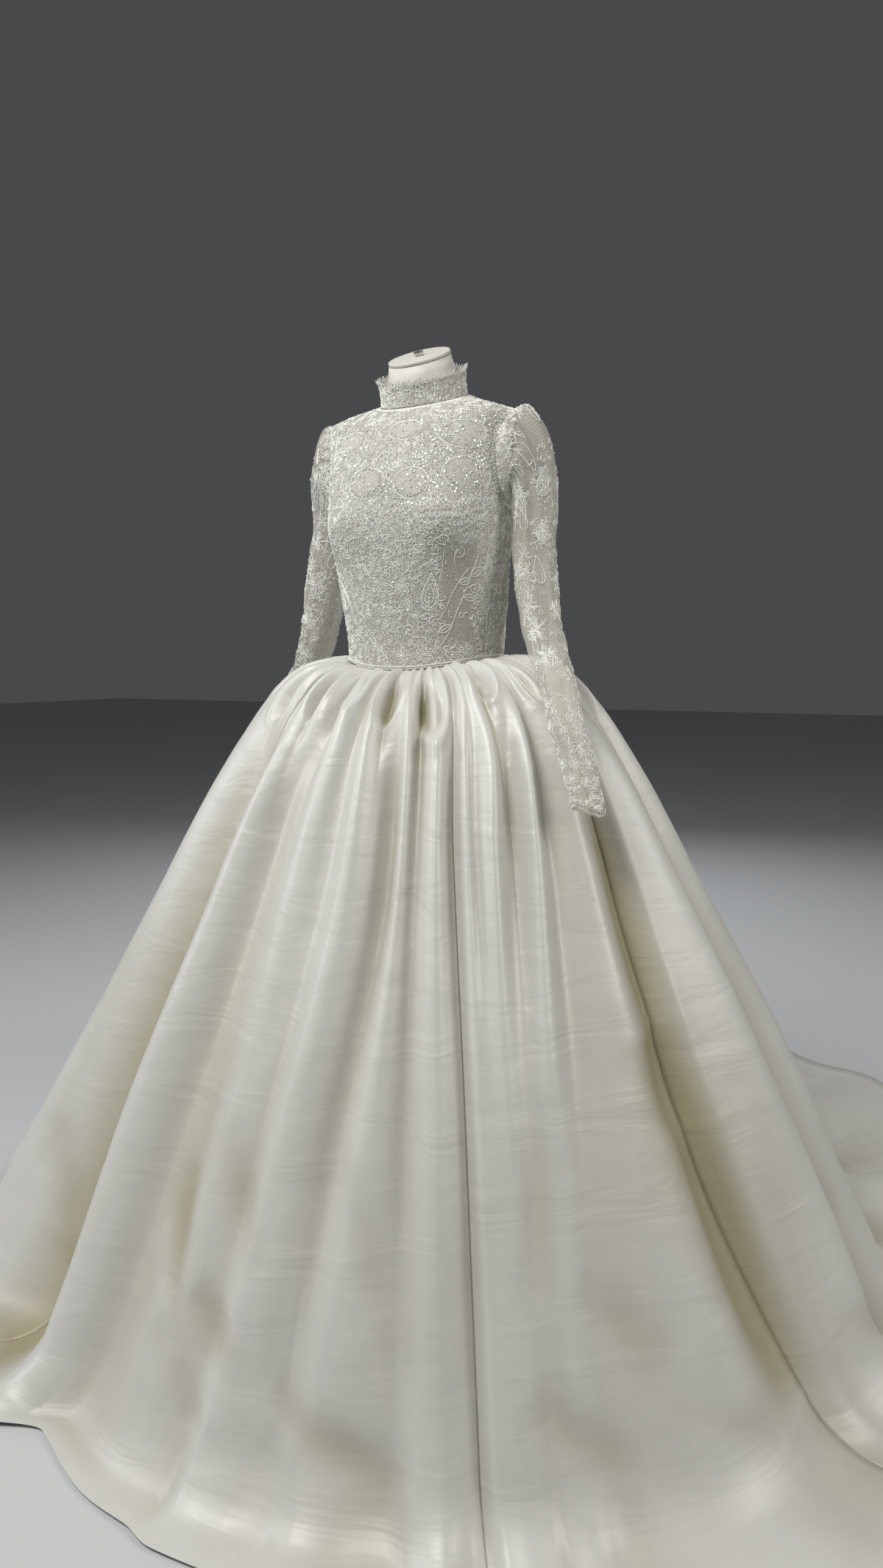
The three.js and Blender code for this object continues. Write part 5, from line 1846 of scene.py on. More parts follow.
def leaf(length: float, width: float) -> Motif:
    """A pointed leaf with a middle vein and four side veins.

    Args:
        length: its length.
        width: its half-width.

    Returns:
        The motif.
    """
    t = np.linspace(0, 1, 10)
    edge = width * np.sin(math.pi * t) ** 0.85
    left = np.stack([-edge, length * t], -1)
    right = np.stack([edge[::-1], length * t[::-1]], -1)
    motif = Motif([(np.concatenate([left, right[1:]]), 0.55)])
    motif.lines.append((np.stack([0 * t, length * (0.95 * t - 0.08)], -1), 0.5))
    for part, side in ((0.3, 1), (0.45, -1), (0.6, 1), (0.72, -1)):
        reach = width * 0.7 * side
        vein = [[0, length * part], [reach * 0.5, length * (part + 0.05)], [reach, length * (part + 0.13)]]
        motif.lines.append((np.array(vein), 0.38))
    motif.beads.append((0, length, 1.1))
    return motif


def paisley(length: float) -> Motif:
    """Rings of cord in the shape of a bent drop, with beads up its middle.

    Args:
        length: its length.

    Returns:
        The motif.
    """
    motif = Motif()
    for size, width in ((1.0, 0.65), (0.8, 0.5), (0.52, 0.6)):
        ring = teardrop(length * 0.33 * size, length * size, length * 0.12 * size, 30)
        motif.lines.append((ring - [0, length * 0.07 * (1 - size)], width))
    for k in range(5):
        motif.beads.append((length * 0.01 * k, length * (-0.22 + 0.085 * k), 1.6 - 0.18 * k))
    outer = teardrop(length * 0.29, length * 0.88, length * 0.1, 17)
    motif.beads += [(x, y, 0.95) for x, y in outer[1:-1]]
    return motif


def scroll(length: float, way: int = 1) -> Motif:
    """A curled tendril that ends in a bead, with a small second curl.

    Args:
        length: its length.
        way: 1 or -1, which way it curls.

    Returns:
        The motif.
    """
    t = np.linspace(0, 1, 26)
    angle = 2.6 * math.pi * t
    radius = length * 0.3 * (1 - t) ** 0.9 + 1.2
    x = way * radius * np.sin(angle)
    y = length * 0.35 + radius * np.cos(angle) - length * 0.3
    tail_t = np.linspace(0, 1, 10)[:-1]
    tail_x = way * -length * 0.25 * np.sin(2.2 * (1 - tail_t))
    tail = np.stack([tail_x, -length * 0.6 + length * 0.95 * tail_t], -1)
    motif = Motif([(np.stack([x, y], -1), 0.55), (tail, 0.5)])
    motif.beads.append((float(x[-1]), float(y[-1]), 1.4))
    return motif


def frond(length: float, pairs: int = 6) -> Motif:
    """A bent stem with small looped leaflets on both sides.

    Args:
        length: its length.
        pairs: how many pairs of leaflets.

    Returns:
        The motif.
    """
    t = np.linspace(0, 1, 14)
    stem = np.stack([length * 0.12 * np.sin(math.pi * t), length * t], -1)
    motif = Motif([(stem, 0.5)])
    for k in range(pairs):
        part = (k + 0.6) / pairs
        foot = np.array([length * 0.12 * math.sin(math.pi * part), length * part])
        reach = length * 0.2 * (1 - 0.5 * part)
        for side in (-1, 1):
            loop = teardrop(reach * 0.25, reach, 0, 9) * [1, -1] + [0, reach * 0.5]
            turned = Motif([(loop, 0.42)]).turned(side * 52)
            motif.lines += [(line + foot, width) for line, width in turned.lines]
        motif.beads.append((float(foot[0]), float(foot[1]), 0.95))
    return motif


def coral(radius: float, branches: int, rng: np.random.Generator) -> Motif:
    """A burst of short wandering cords with forked ends.

    Args:
        radius: its radius.
        branches: how many cords leave its middle.
        rng: its random draws.

    Returns:
        The motif.
    """
    motif = Motif()
    for k in range(branches):
        angle = 2 * math.pi * (k + rng.uniform(-0.3, 0.3)) / branches
        reach = radius * rng.uniform(0.6, 1.15)
        count = max(4, int(reach / 2.4))
        bends = angle + np.cumsum(rng.normal(0, 0.32, count))
        steps = reach / count * np.stack([np.sin(bends), np.cos(bends)], -1)
        line = np.cumsum(np.concatenate([[[0.0, 0.0]], steps]), axis=0)
        motif.lines.append((line, 0.62))
        for fork in (-0.8, 0.8):
            heading = bends[-1] + fork
            start = line[-max(2, count // 2)]
            tip = start + reach * 0.33 * np.array([math.sin(heading), math.cos(heading)])
            motif.lines.append((np.array([start, (start + tip) / 2 + rng.normal(0, 0.5, 2), tip]), 0.42))
        motif.beads.append((float(line[-1][0]), float(line[-1][1]), 0.95))
    motif.beads.append((0, 0, 1.5))
    return motif


def medallion(half_width: float, half_height: float) -> Motif:
    """A plain oval inside a scalloped double cord, beaded along its lower side.

    Args:
        half_width: half its width.
        half_height: half its height.

    Returns:
        The motif.
    """
    t = np.linspace(0, 2 * math.pi, 64)
    scallop = 1 + 0.035 * np.abs(np.sin(t * 7))
    outer = np.stack([half_width * np.sin(t) * scallop, half_height * np.cos(t) * scallop], -1)
    motif = Motif([(outer, 0.6), (outer * 0.93, 0.42)])
    for k in range(11):
        angle = math.pi * (0.62 + 0.076 * k)
        motif.beads.append((half_width * 0.86 * math.sin(angle), half_height * 0.86 * math.cos(angle), 1.15))
    return motif


class Kind(Enum):
    """The small motifs that are placed one by one."""

    PAISLEY = "paisley"
    SCROLL = "scroll"
    LEAF = "leaf"
    FROND = "frond"

    def motif(self, size: float, way: int) -> Motif:
        """The motif of this kind at a size in millimetres.

        Args:
            size: its length.
            way: 1, or -1 for a mirrored curl.

        Returns:
            The motif, unturned.
        """
        if self is Kind.PAISLEY:
            return paisley(size)
        if self is Kind.SCROLL:
            return scroll(size, way)
        if self is Kind.LEAF:
            return leaf(size, size * LEAF_SHARE)
        return frond(size)


@dataclass(frozen=True)
class Trims:
    """The materials of what is sewn on the cloth."""

    thread: bpy.types.Material
    fine: bpy.types.Material
    padding: bpy.types.Material
    glass: bpy.types.Material
    foil: bpy.types.Material


def tree_of(points: Array) -> KDTree:
    """A tree that finds the nearest of some points.

    Args:
        points: the points in millimetres.

    Returns:
        The tree.
    """
    tree = KDTree(len(points))
    for k, point in enumerate(points):
        tree.insert(point, k)
    tree.balance()
    return tree


def strand(foot: Array, along: Array, reach: float, bend: Array) -> Array:
    """A fine thread that leaves a cloth's edge and bends.

    Args:
        foot: a point inside the cloth, behind its edge.
        along: the way it starts.
        reach: its length.
        bend: how far its tip is bent aside.

    Returns:
        Its points, the first of them well inside the cloth.
    """
    return np.array([foot + along * reach * t + bend * t * t for t in np.linspace(-0.12, 1, STRAND_POINTS)])


@dataclass
class Threads:
    """Cord lines in space, each a row of points with a normal, built together as slim three-sided prisms."""

    lines: list = field(default_factory=list)

    def add(self, points: Array, normals: Array, width: float) -> None:
        """Add one line."""
        self.lines.append((points, normals, width))

    def build(self, name: str, material: bpy.types.Material, slot: Slot) -> bpy.types.Object:
        """Build every line as one piece.

        Args:
            name: the piece's name.
            material: its thread.
            slot: its material slot.

        Returns:
            The piece, in which each cord is closed and tapers at both ends.
        """
        counts = np.array([len(p) for p, _, _ in self.lines])
        points = np.concatenate([p for p, _, _ in self.lines])
        normals = unit(np.concatenate([n for _, n, _ in self.lines]))
        first = np.concatenate([[0], np.cumsum(counts)[:-1]])
        last = first + counts - 1
        index = np.arange(len(points))
        before = np.maximum(index - 1, np.repeat(first, counts))
        after = np.minimum(index + 1, np.repeat(last, counts))
        ahead = unit(points[after] - points[before])
        side = unit(np.cross(normals, ahead))
        width = np.repeat([w for _, _, w in self.lines], counts)
        tips = np.isin(index, np.concatenate([first, last]))
        width = np.where(tips, width * 0.45, width)[:, None]
        low = points - normals * width * 0.35
        corners = np.stack([low - side * width, low + side * width, points + normals * width * 1.15], 1)
        runs = np.setdiff1d(index, last)
        a = runs * 3
        b = a + 3
        sides = [np.stack([a + i, b + i, b + j, a + j], -1) for i, j in ((0, 2), (2, 1), (1, 0))]
        caps = np.stack([first * 3, first * 3 + 2, first * 3 + 1], -1)
        ends = np.stack([last * 3, last * 3 + 1, last * 3 + 2], -1)
        piece = make_mesh(name, corners.reshape(-1, 3), [np.concatenate(sides), caps, ends], material)
        return finish_piece(piece, slot)


@dataclass
class Studs:
    """Small sewn-on things, each a low double cone: beads, sequins and padded spots."""

    sides: int
    smooth: bool = True
    items: list = field(default_factory=list)

    def add(self, place: Array, normal: Array, ahead: Array, sizes: tuple[float, float, float]) -> None:
        """Add one, at a place, with its normal, its direction and (along, across, height)."""
        self.items.append((place, normal, ahead, sizes))

    def build(self, name: str, material: bpy.types.Material, slot: Slot) -> bpy.types.Object:
        """Build them all as one piece.

        Args:
            name: the piece's name.
            material: its finish.
            slot: its material slot.

        Returns:
            The piece.
        """
        place, normal, ahead, sizes = (np.array([item[k] for item in self.items], float) for k in range(4))
        normal = unit(normal)
        side = unit(np.cross(normal, ahead))
        ahead = np.cross(side, normal)
        turn = np.arange(self.sides) * 2 * math.pi / self.sides
        ring = (
            place[:, None]
            + ahead[:, None] * (np.cos(turn)[None, :, None] * sizes[:, None, :1])
            + side[:, None] * (np.sin(turn)[None, :, None] * sizes[:, None, 1:2])
        )
        top = place + normal * sizes[:, 2:]
        bottom = place - normal * sizes[:, 2:]
        points = np.concatenate([ring, top[:, None], bottom[:, None]], 1)
        base = (np.arange(len(points)) * (self.sides + 2))[:, None]
        i = np.arange(self.sides)[None, :]
        j = (i + 1) % self.sides
        over = np.stack([base + i, base + j, base + self.sides + 0 * i], -1)
        under = np.stack([base + j, base + i, base + self.sides + 1 + 0 * i], -1)
        faces = np.concatenate([over.reshape(-1, 3), under.reshape(-1, 3)])
        piece = make_mesh(name, points.reshape(-1, 3), [faces], material)
        piece.data.polygons.foreach_set("use_smooth", np.full(len(faces), self.smooth))
        return finish_piece(piece, slot)


@dataclass
class LaceWork:
    """Lace laid on one cloth: motifs, wandering cords, beads and sequins."""

    name: str
    surface: ClothSurface
    slot: Slot
    seed: int
    lift: float = 0.15
    moat: float = 1.9
    motif_weight: float = 1.25
    sequin_tilt: float = 0.32
    sequin_stand: float = 0.9
    sequin_rise: float = 0.22
    pad_height: float = 0.9
    threads: Threads = field(default_factory=Threads)
    beads: Studs = field(default_factory=lambda: Studs(4))
    sequins: Studs = field(default_factory=lambda: Studs(6, smooth=False))
    pads: Studs = field(default_factory=lambda: Studs(8))

    def __post_init__(self) -> None:
        """Start the draws and the waiting list of motifs."""
        self.rng = np.random.default_rng(self.seed)
        self.waiting: list[tuple[float, float, Motif]] = []

    def place(self, motif: Motif, u: float, v: float) -> None:
        """Put a motif with its middle at u and v."""
        self.waiting.append((u, v, motif))

    def trail(self, line: Sequence, width: float, step: float = 2.6) -> None:
        """A long cord through places of u and v.

        Args:
            line: its places, as u and v.
            width: its half-width.
            step: the cord's step in millimetres.
        """
        line = np.array(line, float)
        t = np.arange(len(line))
        fine = np.linspace(0, len(line) - 1, 60)
        u, v = (smooth_curve(fine, t, line[:, k]) for k in range(2))
        length = np.linalg.norm(np.diff(self.surface.points(u, v), axis=0), axis=-1).sum()
        fine = np.linspace(0, len(line) - 1, max(4, int(length / step)))
        u, v = (smooth_curve(fine, t, line[:, k]) for k in range(2))
        points = self.surface.points(u, v)
        normals = self.surface.normals(u, v)
        if self.surface.keeps(u, v, points).all():
            self.threads.add(points + normals * self.lift, normals, width)

    def seam_cords(self, line: Sequence) -> None:
        """A corded edge with small loops beside a seam.

        Args:
            line: its places, as u and v.
        """
        self.trail(line, 0.7, 3.2)
        inwards = 1 if line[0][1] < 5 else -1
        scallop = np.array([[-3.2, 0], [-2.4, 2.6], [0, 3.8], [2.4, 2.6], [3.2, 0]]) * [1, inwards]
        places = np.array(line, float)
        fine = np.linspace(0, len(places) - 1, int(3.2 * len(places)))
        for k in fine[1:-1]:
            u = float(np.interp(k, np.arange(len(places)), places[:, 0]))
            v = float(places[0, 1]) + 0.03 * inwards
            self.place(Motif([(scallop, 0.55)], [(0, 2.0 * inwards, 0.9)]), u, v)

    def fringe(self, feet: Sequence, length: float, width: float) -> None:
        """Short threads that hang down the face from a row of places."""
        for u, v in feet:
            reach = length * self.rng.uniform(0.6, 1.1)
            lean = self.rng.uniform(-0.35, 0.35) * reach
            line = np.array([[0, 1.5], [lean * 0.2, -reach * 0.4], [lean, -reach]])
            self.place(Motif([(line, width)]), float(u), float(v))

    def on_face(self, anchors: Array, local: Array) -> tuple[Array, Array, Array, Array, Array]:
        """Surface places of local points.

        Args:
            anchors: the motif's middle for each point, as u and v.
            local: the points in millimetres about their motif's middle.

        Returns:
            u, v, points, normals and whether each point may be used.
        """
        u0, v0 = anchors[:, 0], anchors[:, 1]
        du, dv = self.surface.slopes(u0, v0)
        e1 = unit(du)
        e2 = np.cross(unit(np.cross(du, dv)), e1)
        v_per = (dv * e2).sum(-1)
        dv_step = local[:, 1] / v_per
        du_step = (local[:, 0] - dv_step * (dv * e1).sum(-1)) / (du * e1).sum(-1)
        u = u0 + du_step
        v = v0 + dv_step
        points = self.surface.points(u, v)
        return u, v, points, self.surface.normals(u, v), self.surface.keeps(u, v, points)

    def lay(self) -> None:
        """Lay every waiting motif on the cloth."""
        if not self.waiting:
            return
        lines = [((u, v), line, width) for u, v, m in self.waiting for line, width in m.lines]
        local = np.concatenate([line for _, line, _ in lines])
        counts = [len(line) for _, line, _ in lines]
        anchors = np.repeat([a for a, _, _ in lines], counts, axis=0)
        _, _, points, normals, keeps = self.on_face(anchors, local)
        start = 0
        for (_, _, width), count in zip(lines, counts):
            part = slice(start, start + count)
            if keeps[part].all():
                thick = width * self.motif_weight
                self.threads.add(points[part] + normals[part] * self.lift, normals[part], thick)
            start += count
        spots = [((u, v), (x, y), r) for u, v, m in self.waiting for x, y, r in m.beads]
        if spots:
            places, local, radii = zip(*spots)
            self.add_beads(np.array(places), np.array(local), radii)
        soft = [((u, v), p) for u, v, m in self.waiting for p in m.pads]
        if soft:
            self.add_pads(np.array([s[0] for s in soft]), [s[1] for s in soft])
        self.waiting = []

    def add_beads(self, anchors: Array, local: Array, radii: Sequence[float]) -> None:
        """Sew beads on."""
        _, _, points, normals, keeps = self.on_face(anchors, local)
        for point, normal, keep, r in zip(points, normals, keeps, radii):
            if keep:
                ahead = np.array([0.3, 0.2, 1.0]) + self.rng.normal(0, 0.3, 3)
                self.beads.add(point + normal * r * 0.75, normal, ahead, (r, r, r))

    def add_pads(self, anchors: Array, pads: list) -> None:
        """Sew padded satin-stitch spots on.

        Args:
            anchors: each motif's middle, as u and v.
            pads: each pad's x, y, half-length, half-width and turn.
        """
        local = np.array([(p[0], p[1]) for p in pads])
        _, _, points, normals, keeps = self.on_face(anchors, local)
        du, _ = self.surface.slopes(anchors[:, 0], anchors[:, 1])
        for point, normal, keep, pad, across in zip(points, normals, keeps, pads, du):
            if keep:
                right = unit(across)
                up = np.cross(normal, right)
                turn = math.radians(pad[4])
                ahead = right * math.cos(turn) - up * math.sin(turn)
                self.pads.add(point + normal * 0.1, normal, ahead, (pad[2], pad[3], self.pad_height))

    def scatter(self, count: int, low: tuple, high: tuple, density: Callable) -> Array:
        """Random places on the cloth, spread evenly by area and thinned by a density.

        Args:
            count: how many places.
            low: the lowest u and v.
            high: the highest u and v.
            density: from 0 to 1 for u, v and points.

        Returns:
            The places as u and v.
        """
        found = []
        total = 0
        while total < count:
            spots = self.rng.uniform(low, high, (count * 2, 2))
            du, dv = self.surface.slopes(spots[:, 0], spots[:, 1])
            area = np.linalg.norm(np.cross(du, dv), axis=-1)
            points = self.surface.points(spots[:, 0], spots[:, 1])
            chance = area / np.percentile(area, 98) * density(spots[:, 0], spots[:, 1], points)
            chance = np.where(self.surface.keeps(spots[:, 0], spots[:, 1], points), chance, 0)
            spots = spots[self.rng.uniform(0, 1, len(spots)) < chance]
            found.append(spots)
            total += len(spots)
        return np.concatenate(found)[:count]

    def wander(self, places: Array, steps: int, step: float, width: float = CORD) -> None:
        """Small looping cords from places, each with its own way of curling, cut short beside the motifs.

        Args:
            places: where the cords lie, as u and v.
            steps: about how many steps a cord has.
            step: a step's length in millimetres.
            width: the cords' half-width.
        """
        paths = []
        for _ in places:
            count = int(self.rng.integers(steps - 3, steps + 3))
            curl = self.rng.uniform(0.35, 0.95) * self.rng.choice([-1, 1])
            turns = curl + self.rng.normal(0, 0.35, count)
            flip = int(self.rng.integers(3, count))
            turns[flip:] *= -1
            heading = self.rng.uniform(0, 2 * math.pi) + np.cumsum(turns)
            path = np.cumsum(step * np.stack([np.sin(heading), np.cos(heading)], -1), axis=0)
            paths.append(path - path.mean(0))
        self.lay()
        laid = np.concatenate([points for points, _, _ in self.threads.lines])
        near = tree_of(laid)
        counts = [len(path) for path in paths]
        _, _, points, normals, keeps = self.on_face(np.repeat(places, counts, axis=0), np.concatenate(paths))
        free = keeps & (np.array([near.find(point)[2] for point in points]) > self.moat)
        start = 0
        for count in counts:
            blocked = np.flatnonzero(~free[start : start + count])
            length = int(blocked[0]) if len(blocked) else count
            if length > 3:
                part = slice(start, start + length)
                thick = width * self.rng.uniform(0.8, 1.2)
                self.threads.add(points[part] + normals[part] * self.lift, normals[part], thick)
            start += count

    def scatter_beads(
        self, count: int, low: tuple, high: tuple, density: Callable, radius: float, spread: float = 0.0
    ) -> None:
        """Sew single beads on at random places.

        Args:
            count: how many.
            low: the lowest u and v.
            high: the highest u and v.
            density: as for scatter.
            radius: the beads' radius.
            spread: how much larger or smaller some are.
        """
        places = self.scatter(count, low, high, density)
        radii = np.full(count, radius)
        if spread:
            radii = self.rng.uniform(radius - spread, radius + spread, count)
        self.add_beads(places, np.zeros((count, 2)), radii)

    def scatter_sequins(self, count: int, low: tuple, high: tuple, density: Callable, radius: float) -> None:
        """Sew tilted sequins on at random places.

        Args:
            count: how many.
            low: the lowest u and v.
            high: the highest u and v.
            density: as for scatter.
            radius: the sequins' radius.
        """
        places = self.scatter(count, low, high, density)
        _, _, points, normals, _ = self.on_face(places, np.zeros((count, 2)))
        for point, normal in zip(points, normals):
            tilted = unit(normal + self.rng.normal(0, self.sequin_tilt, 3))
            r = radius * self.rng.uniform(0.85, 1.15)
            ahead = self.rng.normal(0, 1, 3)
            self.sequins.add(point + normal * self.sequin_stand, tilted, ahead, (r, r, self.sequin_rise))

    def sprigs(self, rows: dict[Kind, list], side: int = 1) -> None:
        """Place motifs of each kind.

        Args:
            rows: for each kind, rows of u, v, size and turn.
            side: 1, or -1 to mirror them all.
        """
        for kind, places in rows.items():
            for u, v, size, turn in places:
                self.place(kind.motif(size, side).turned(side * turn), side * u, v)

    def build(self, trims: Trims) -> None:
        """Build the cords, beads, sequins and pads.

        Args:
            trims: their materials.
        """
        self.lay()
        self.threads.build(f"{self.name}_cords", trims.thread, self.slot)
        self.beads.build(f"{self.name}_beads", trims.glass, self.slot)
        self.sequins.build(f"{self.name}_sequins", trims.foil, self.slot)
        self.pads.build(f"{self.name}_pads", trims.padding, self.slot)


# Raised ovals of the yoke, as u, v, half-width, half-height and turn.
MEDALLIONS = [
    (-11.0, 5.15, 31, 24, 4),
    (15.0, 5.05, 29, 24, -4),
    (50.0, 5.3, 34, 26, -8),
    (44.0, 6.9, 38, 22, -6),
    (-27.0, 6.9, 27, 19, 6),
    (-42.0, 5.2, 26, 22, 8),
    (6.0, 7.4, 26, 18, 0),
]
EDGE_U = [5, 18, 44, 73.5, 88]
EDGE_V = [4.05, 4.15, 4.2, 4.6, 4.9]
BAND_U = [0, 10, 39, 60, 77, 88]
BAND_V = [3.2, 3.4, 3.72, 4.1, 4.5, 4.7]
STEMS = [
    ([[30, 0.9], [38, 1.35], [44, 1.9], [50, 2.4], [55, 2.85], [61, 3.3]], 0.6),
    ([[27, 1.75], [31, 1.75], [36, 2.0], [41, 2.4], [46, 2.7], [53, 3.0]], 0.5),
    ([[-24, 3.6], [-29, 3.1], [-32, 2.6], [-31, 2.2], [-28, 1.9]], 0.6),
    ([[-36, 3.4], [-40, 2.8], [-38, 2.2], [-33, 1.6]], 0.5),
    ([[10, 3.4], [8, 2.8], [12, 2.2], [10, 1.6], [5, 1.0], [8, 0.4]], 0.55),
    ([[70, 3.6], [68, 2.9], [72, 2.3], [70, 1.5], [74, 0.8]], 0.5),
    ([[36, 3.6], [34, 3.1], [32, 2.7]], 0.5),
]


def bump_oval(
    points: Array, centre: Array, right: Array, up: Array, half_width: float, half_height: float
) -> Array:
    """How far inside an oval each point lies: 1 at its middle and 0 at its edge."""
    away = points - centre
    return 1 - np.hypot(away @ right / half_width, away @ up / half_height)


@dataclass
class RaisedTorso(Torso):
    """The bodice's face with the raised lace: the yoke's ovals and the lip under the left bust."""

    oval_rise: float = 1.1
    lip_rise: float = 1.3

    def __post_init__(self) -> None:
        """Find where the ovals lie."""
        self.flat = Torso()
        self.ovals = []
        for u, v, half_width, half_height, turn in MEDALLIONS:
            at_u, at_v = np.array([float(u)]), np.array([float(v)])
            right = unit(self.flat.slopes(at_u, at_v)[0])[0]
            up = np.cross(self.flat.normals(at_u, at_v)[0], right)
            angle = math.radians(turn)
            across = right * math.cos(angle) + up * math.sin(angle)
            climb = up * math.cos(angle) - right * math.sin(angle)
            self.ovals.append((self.flat.points(at_u, at_v)[0], across, climb, half_width, half_height))

    def points(self, u: Array, v: Array) -> Array:
        """Points of the face at angles u and rows v, with the raised lace.

        Args:
            u: places across the face.
            v: places along it.

        Returns:
            The points in millimetres.
        """
        u, v = np.broadcast_arrays(np.asarray(u, float), np.asarray(v, float))
        base = self.flat.points(u, v)
        front = np.abs(u) < 96
        rise = np.zeros(u.shape)
        for centre, right, up, half_width, half_height in self.ovals:
            inside = bump_oval(base, centre, right, up, half_width, half_height)
            dome = smooth_step(inside / 0.12) * (1 + 0.4 * np.clip(inside, 0, 1))
            rise = np.maximum(rise, self.oval_rise * dome)
        over = v - smooth_curve(u, EDGE_U, EDGE_V)
        window = smooth_step((u - 6) / 10) * smooth_step((88 - u) / 8)
        lip = smooth_step((over + 0.03) / 0.08) * (1 - smooth_step(over / 0.55)) * window
        rise = np.where(front, np.maximum(rise, self.lip_rise * lip), 0)
        return base + self.flat.normals(u, v) * rise[..., None]

    def plain(self, u: Array, points: Array) -> Array:
        """Whether points lie in the smooth middle of an oval, or within about 6 mm above the waist seam,
        where the lace is drawn a little lighter.

        Args:
            u: places across the face.
            points: the points in millimetres.

        Returns:
            From 0 to 1.
        """
        total = np.zeros(u.shape)
        for centre, right, up, half_width, half_height in self.ovals:
            inside = bump_oval(points, centre, right, up, half_width, half_height)
            total = np.maximum(total, np.where(np.abs(u) < 96, smooth_step((inside - 0.08) / 0.1), 0))
        dip = WAIST_DIP * np.maximum(0, np.cos(np.radians(u))) ** 2
        edge = smooth_step((WAIST_HEIGHT - dip + 6 - points[..., 2]) / 4)
        return np.maximum(total * 0.6, 0.3 * edge)

    def density(self, u: Array, v: Array, points: Array) -> Array:
        """How thick the lace's cords lie.

        Args:
            u: places across the face.
            v: places along it.
            points: the points in millimetres.

        Returns:
            From 0 to 1.
        """
        side = np.abs(u)
        thick = np.interp(v, [0, 1.0, 2.2, 3.6, 4.5, 7, 11], [0.85, 0.75, 0.7, 0.85, 1.0, 0.85, 0.95])
        plain_low = np.interp(v, [0.9, 1.3, 3.2, 3.7], [0, 1, 1, 0])
        plain = plain_low * (smooth_step((u - 31) / 5) - smooth_step((u - 55) / 6))
        plain = np.maximum(plain, plain_low * 0.55 * smooth_step((-u - 52) / 8) * smooth_step((86 + u) / 10))
        back = np.interp(v, [0.6, 1.2, 3.6, 4.6], [0, 1, 1, 0]) * np.exp(-(((side - 128) / 13) ** 2))
        thick = thick * (1 - 0.93 * plain) * (1 - 0.85 * back)
        for centre, right, up, half_width, half_height in self.ovals:
            inside = bump_oval(points, centre, right, up, half_width, half_height)
            thick = thick * np.where((inside > 0.02) & (side < 96), 0.3, 1.0)
        return np.clip(thick, 0, 1)


# The front's flowers as u, v and radius, and its other motifs as u, v, size and turn.
FRONT_FLOWERS = [
    (-12.5, 1.1, 15), (-2.5, 1.65, 13), (8, 2.6, 12), (-20, 2.3, 14), (-8, 3.1, 14), (20, 3.35, 13),
    (-30, 3.5, 12), (-1, 4.0, 13), (-18, 4.3, 12), (66, 4.0, 15), (82, 4.4, 12), (-52, 4.1, 14),
    (-62, 3.1, 13), (22, 0.7, 14), (7, 0.7, 12), (64, 2.2, 13), (77, 1.1, 14), (-42, 1.1, 14),
    (-72, 1.5, 13), (1, 6.1, 13), (-46, 6.4, 12), (26, 6.1, 12), (68, 6.4, 12), (-12, 8.3, 13),
    (18, 8.6, 13), (-44, 8.2, 12), (42, 8.5, 13), (0, 9.9, 9), (32, 9.9, 9), (-33, 9.8, 9), (52, 0.5, 13),
]
FRONT_SPRIGS = {
    Kind.PAISLEY: [
        (25, 2.45, 56, 0), (-46, 2.4, 46, 24), (-76, 3.1, 44, -18), (70, 3.0, 40, 14), (-28, 0.9, 34, -30),
    ],
    Kind.SCROLL: [(45, 3.3, 34, 10), (-31, 2.9, 36, 160), (57, 2.5, 30, -50), (12, 1.5, 32, 80)],
    Kind.LEAF: [
        (54, 2.8, 26, -60), (45.5, 2.65, 22, -80), (49, 2.3, 22, -100), (60, 3.3, 26, -30),
        (40, 1.6, 22, 120), (-25, 3.3, 24, 60), (-36, 2.0, 22, -50), (14, 2.0, 22, 30), (70, 1.8, 24, 10),
        (-60, 1.9, 26, -20),
    ],
    Kind.FROND: [
        (6, 3.3, 40, 70), (-14, 3.7, 44, 110), (36, 3.9, 40, -80), (52, 4.05, 40, -75), (66, 4.8, 36, -20),
        (-4, 0.5, 40, 60), (-56, 2.2, 40, 10), (66, 0.5, 38, 30), (30, 7.6, 30, 40), (-20, 7.8, 30, -40),
        (58, 7.2, 34, 0), (-62, 6.0, 36, 10), (76, 5.6, 34, 10), (-80, 4.4, 36, -10),
    ],
}
BACK_FLOWERS = [
    (100, 2.6, 14), (112, 1.2, 13), (150, 0.9, 14), (170, 2.0, 13), (160, 4.2, 15), (118, 4.6, 14),
    (172, 6.0, 13), (148, 6.4, 14), (120, 7.4, 12), (160, 8.6, 13), (132, 9.2, 11), (104, 5.6, 12),
    (172, 9.9, 9),
]
BACK_SPRIGS = {
    Kind.PAISLEY: [(156, 2.6, 46, -16), (108, 3.6, 40, 20), (168, 7.6, 34, 0), (134, 8.2, 34, 40)],
    Kind.SCROLL: [(138, 3.4, 34, 20), (124, 1.6, 30, -40), (142, 1.4, 32, 90)],
    Kind.FROND: [(130, 3.6, 40, -60), (146, 4.8, 40, 60), (116, 0.6, 38, -40), (164, 5.2, 36, 20)],
}


def even(u: Array, v: Array, points: Array) -> Array:
    """The same close lace everywhere."""
    return np.full(u.shape, 0.95)


def sparkle(u: Array, v: Array, points: Array) -> Array:
    """How thick the front's sequins lie: most of them on its upper left."""
    return 0.35 + 0.65 * np.exp(-(((u - 40) / 32) ** 2 + ((v - 6) / 2.2) ** 2))


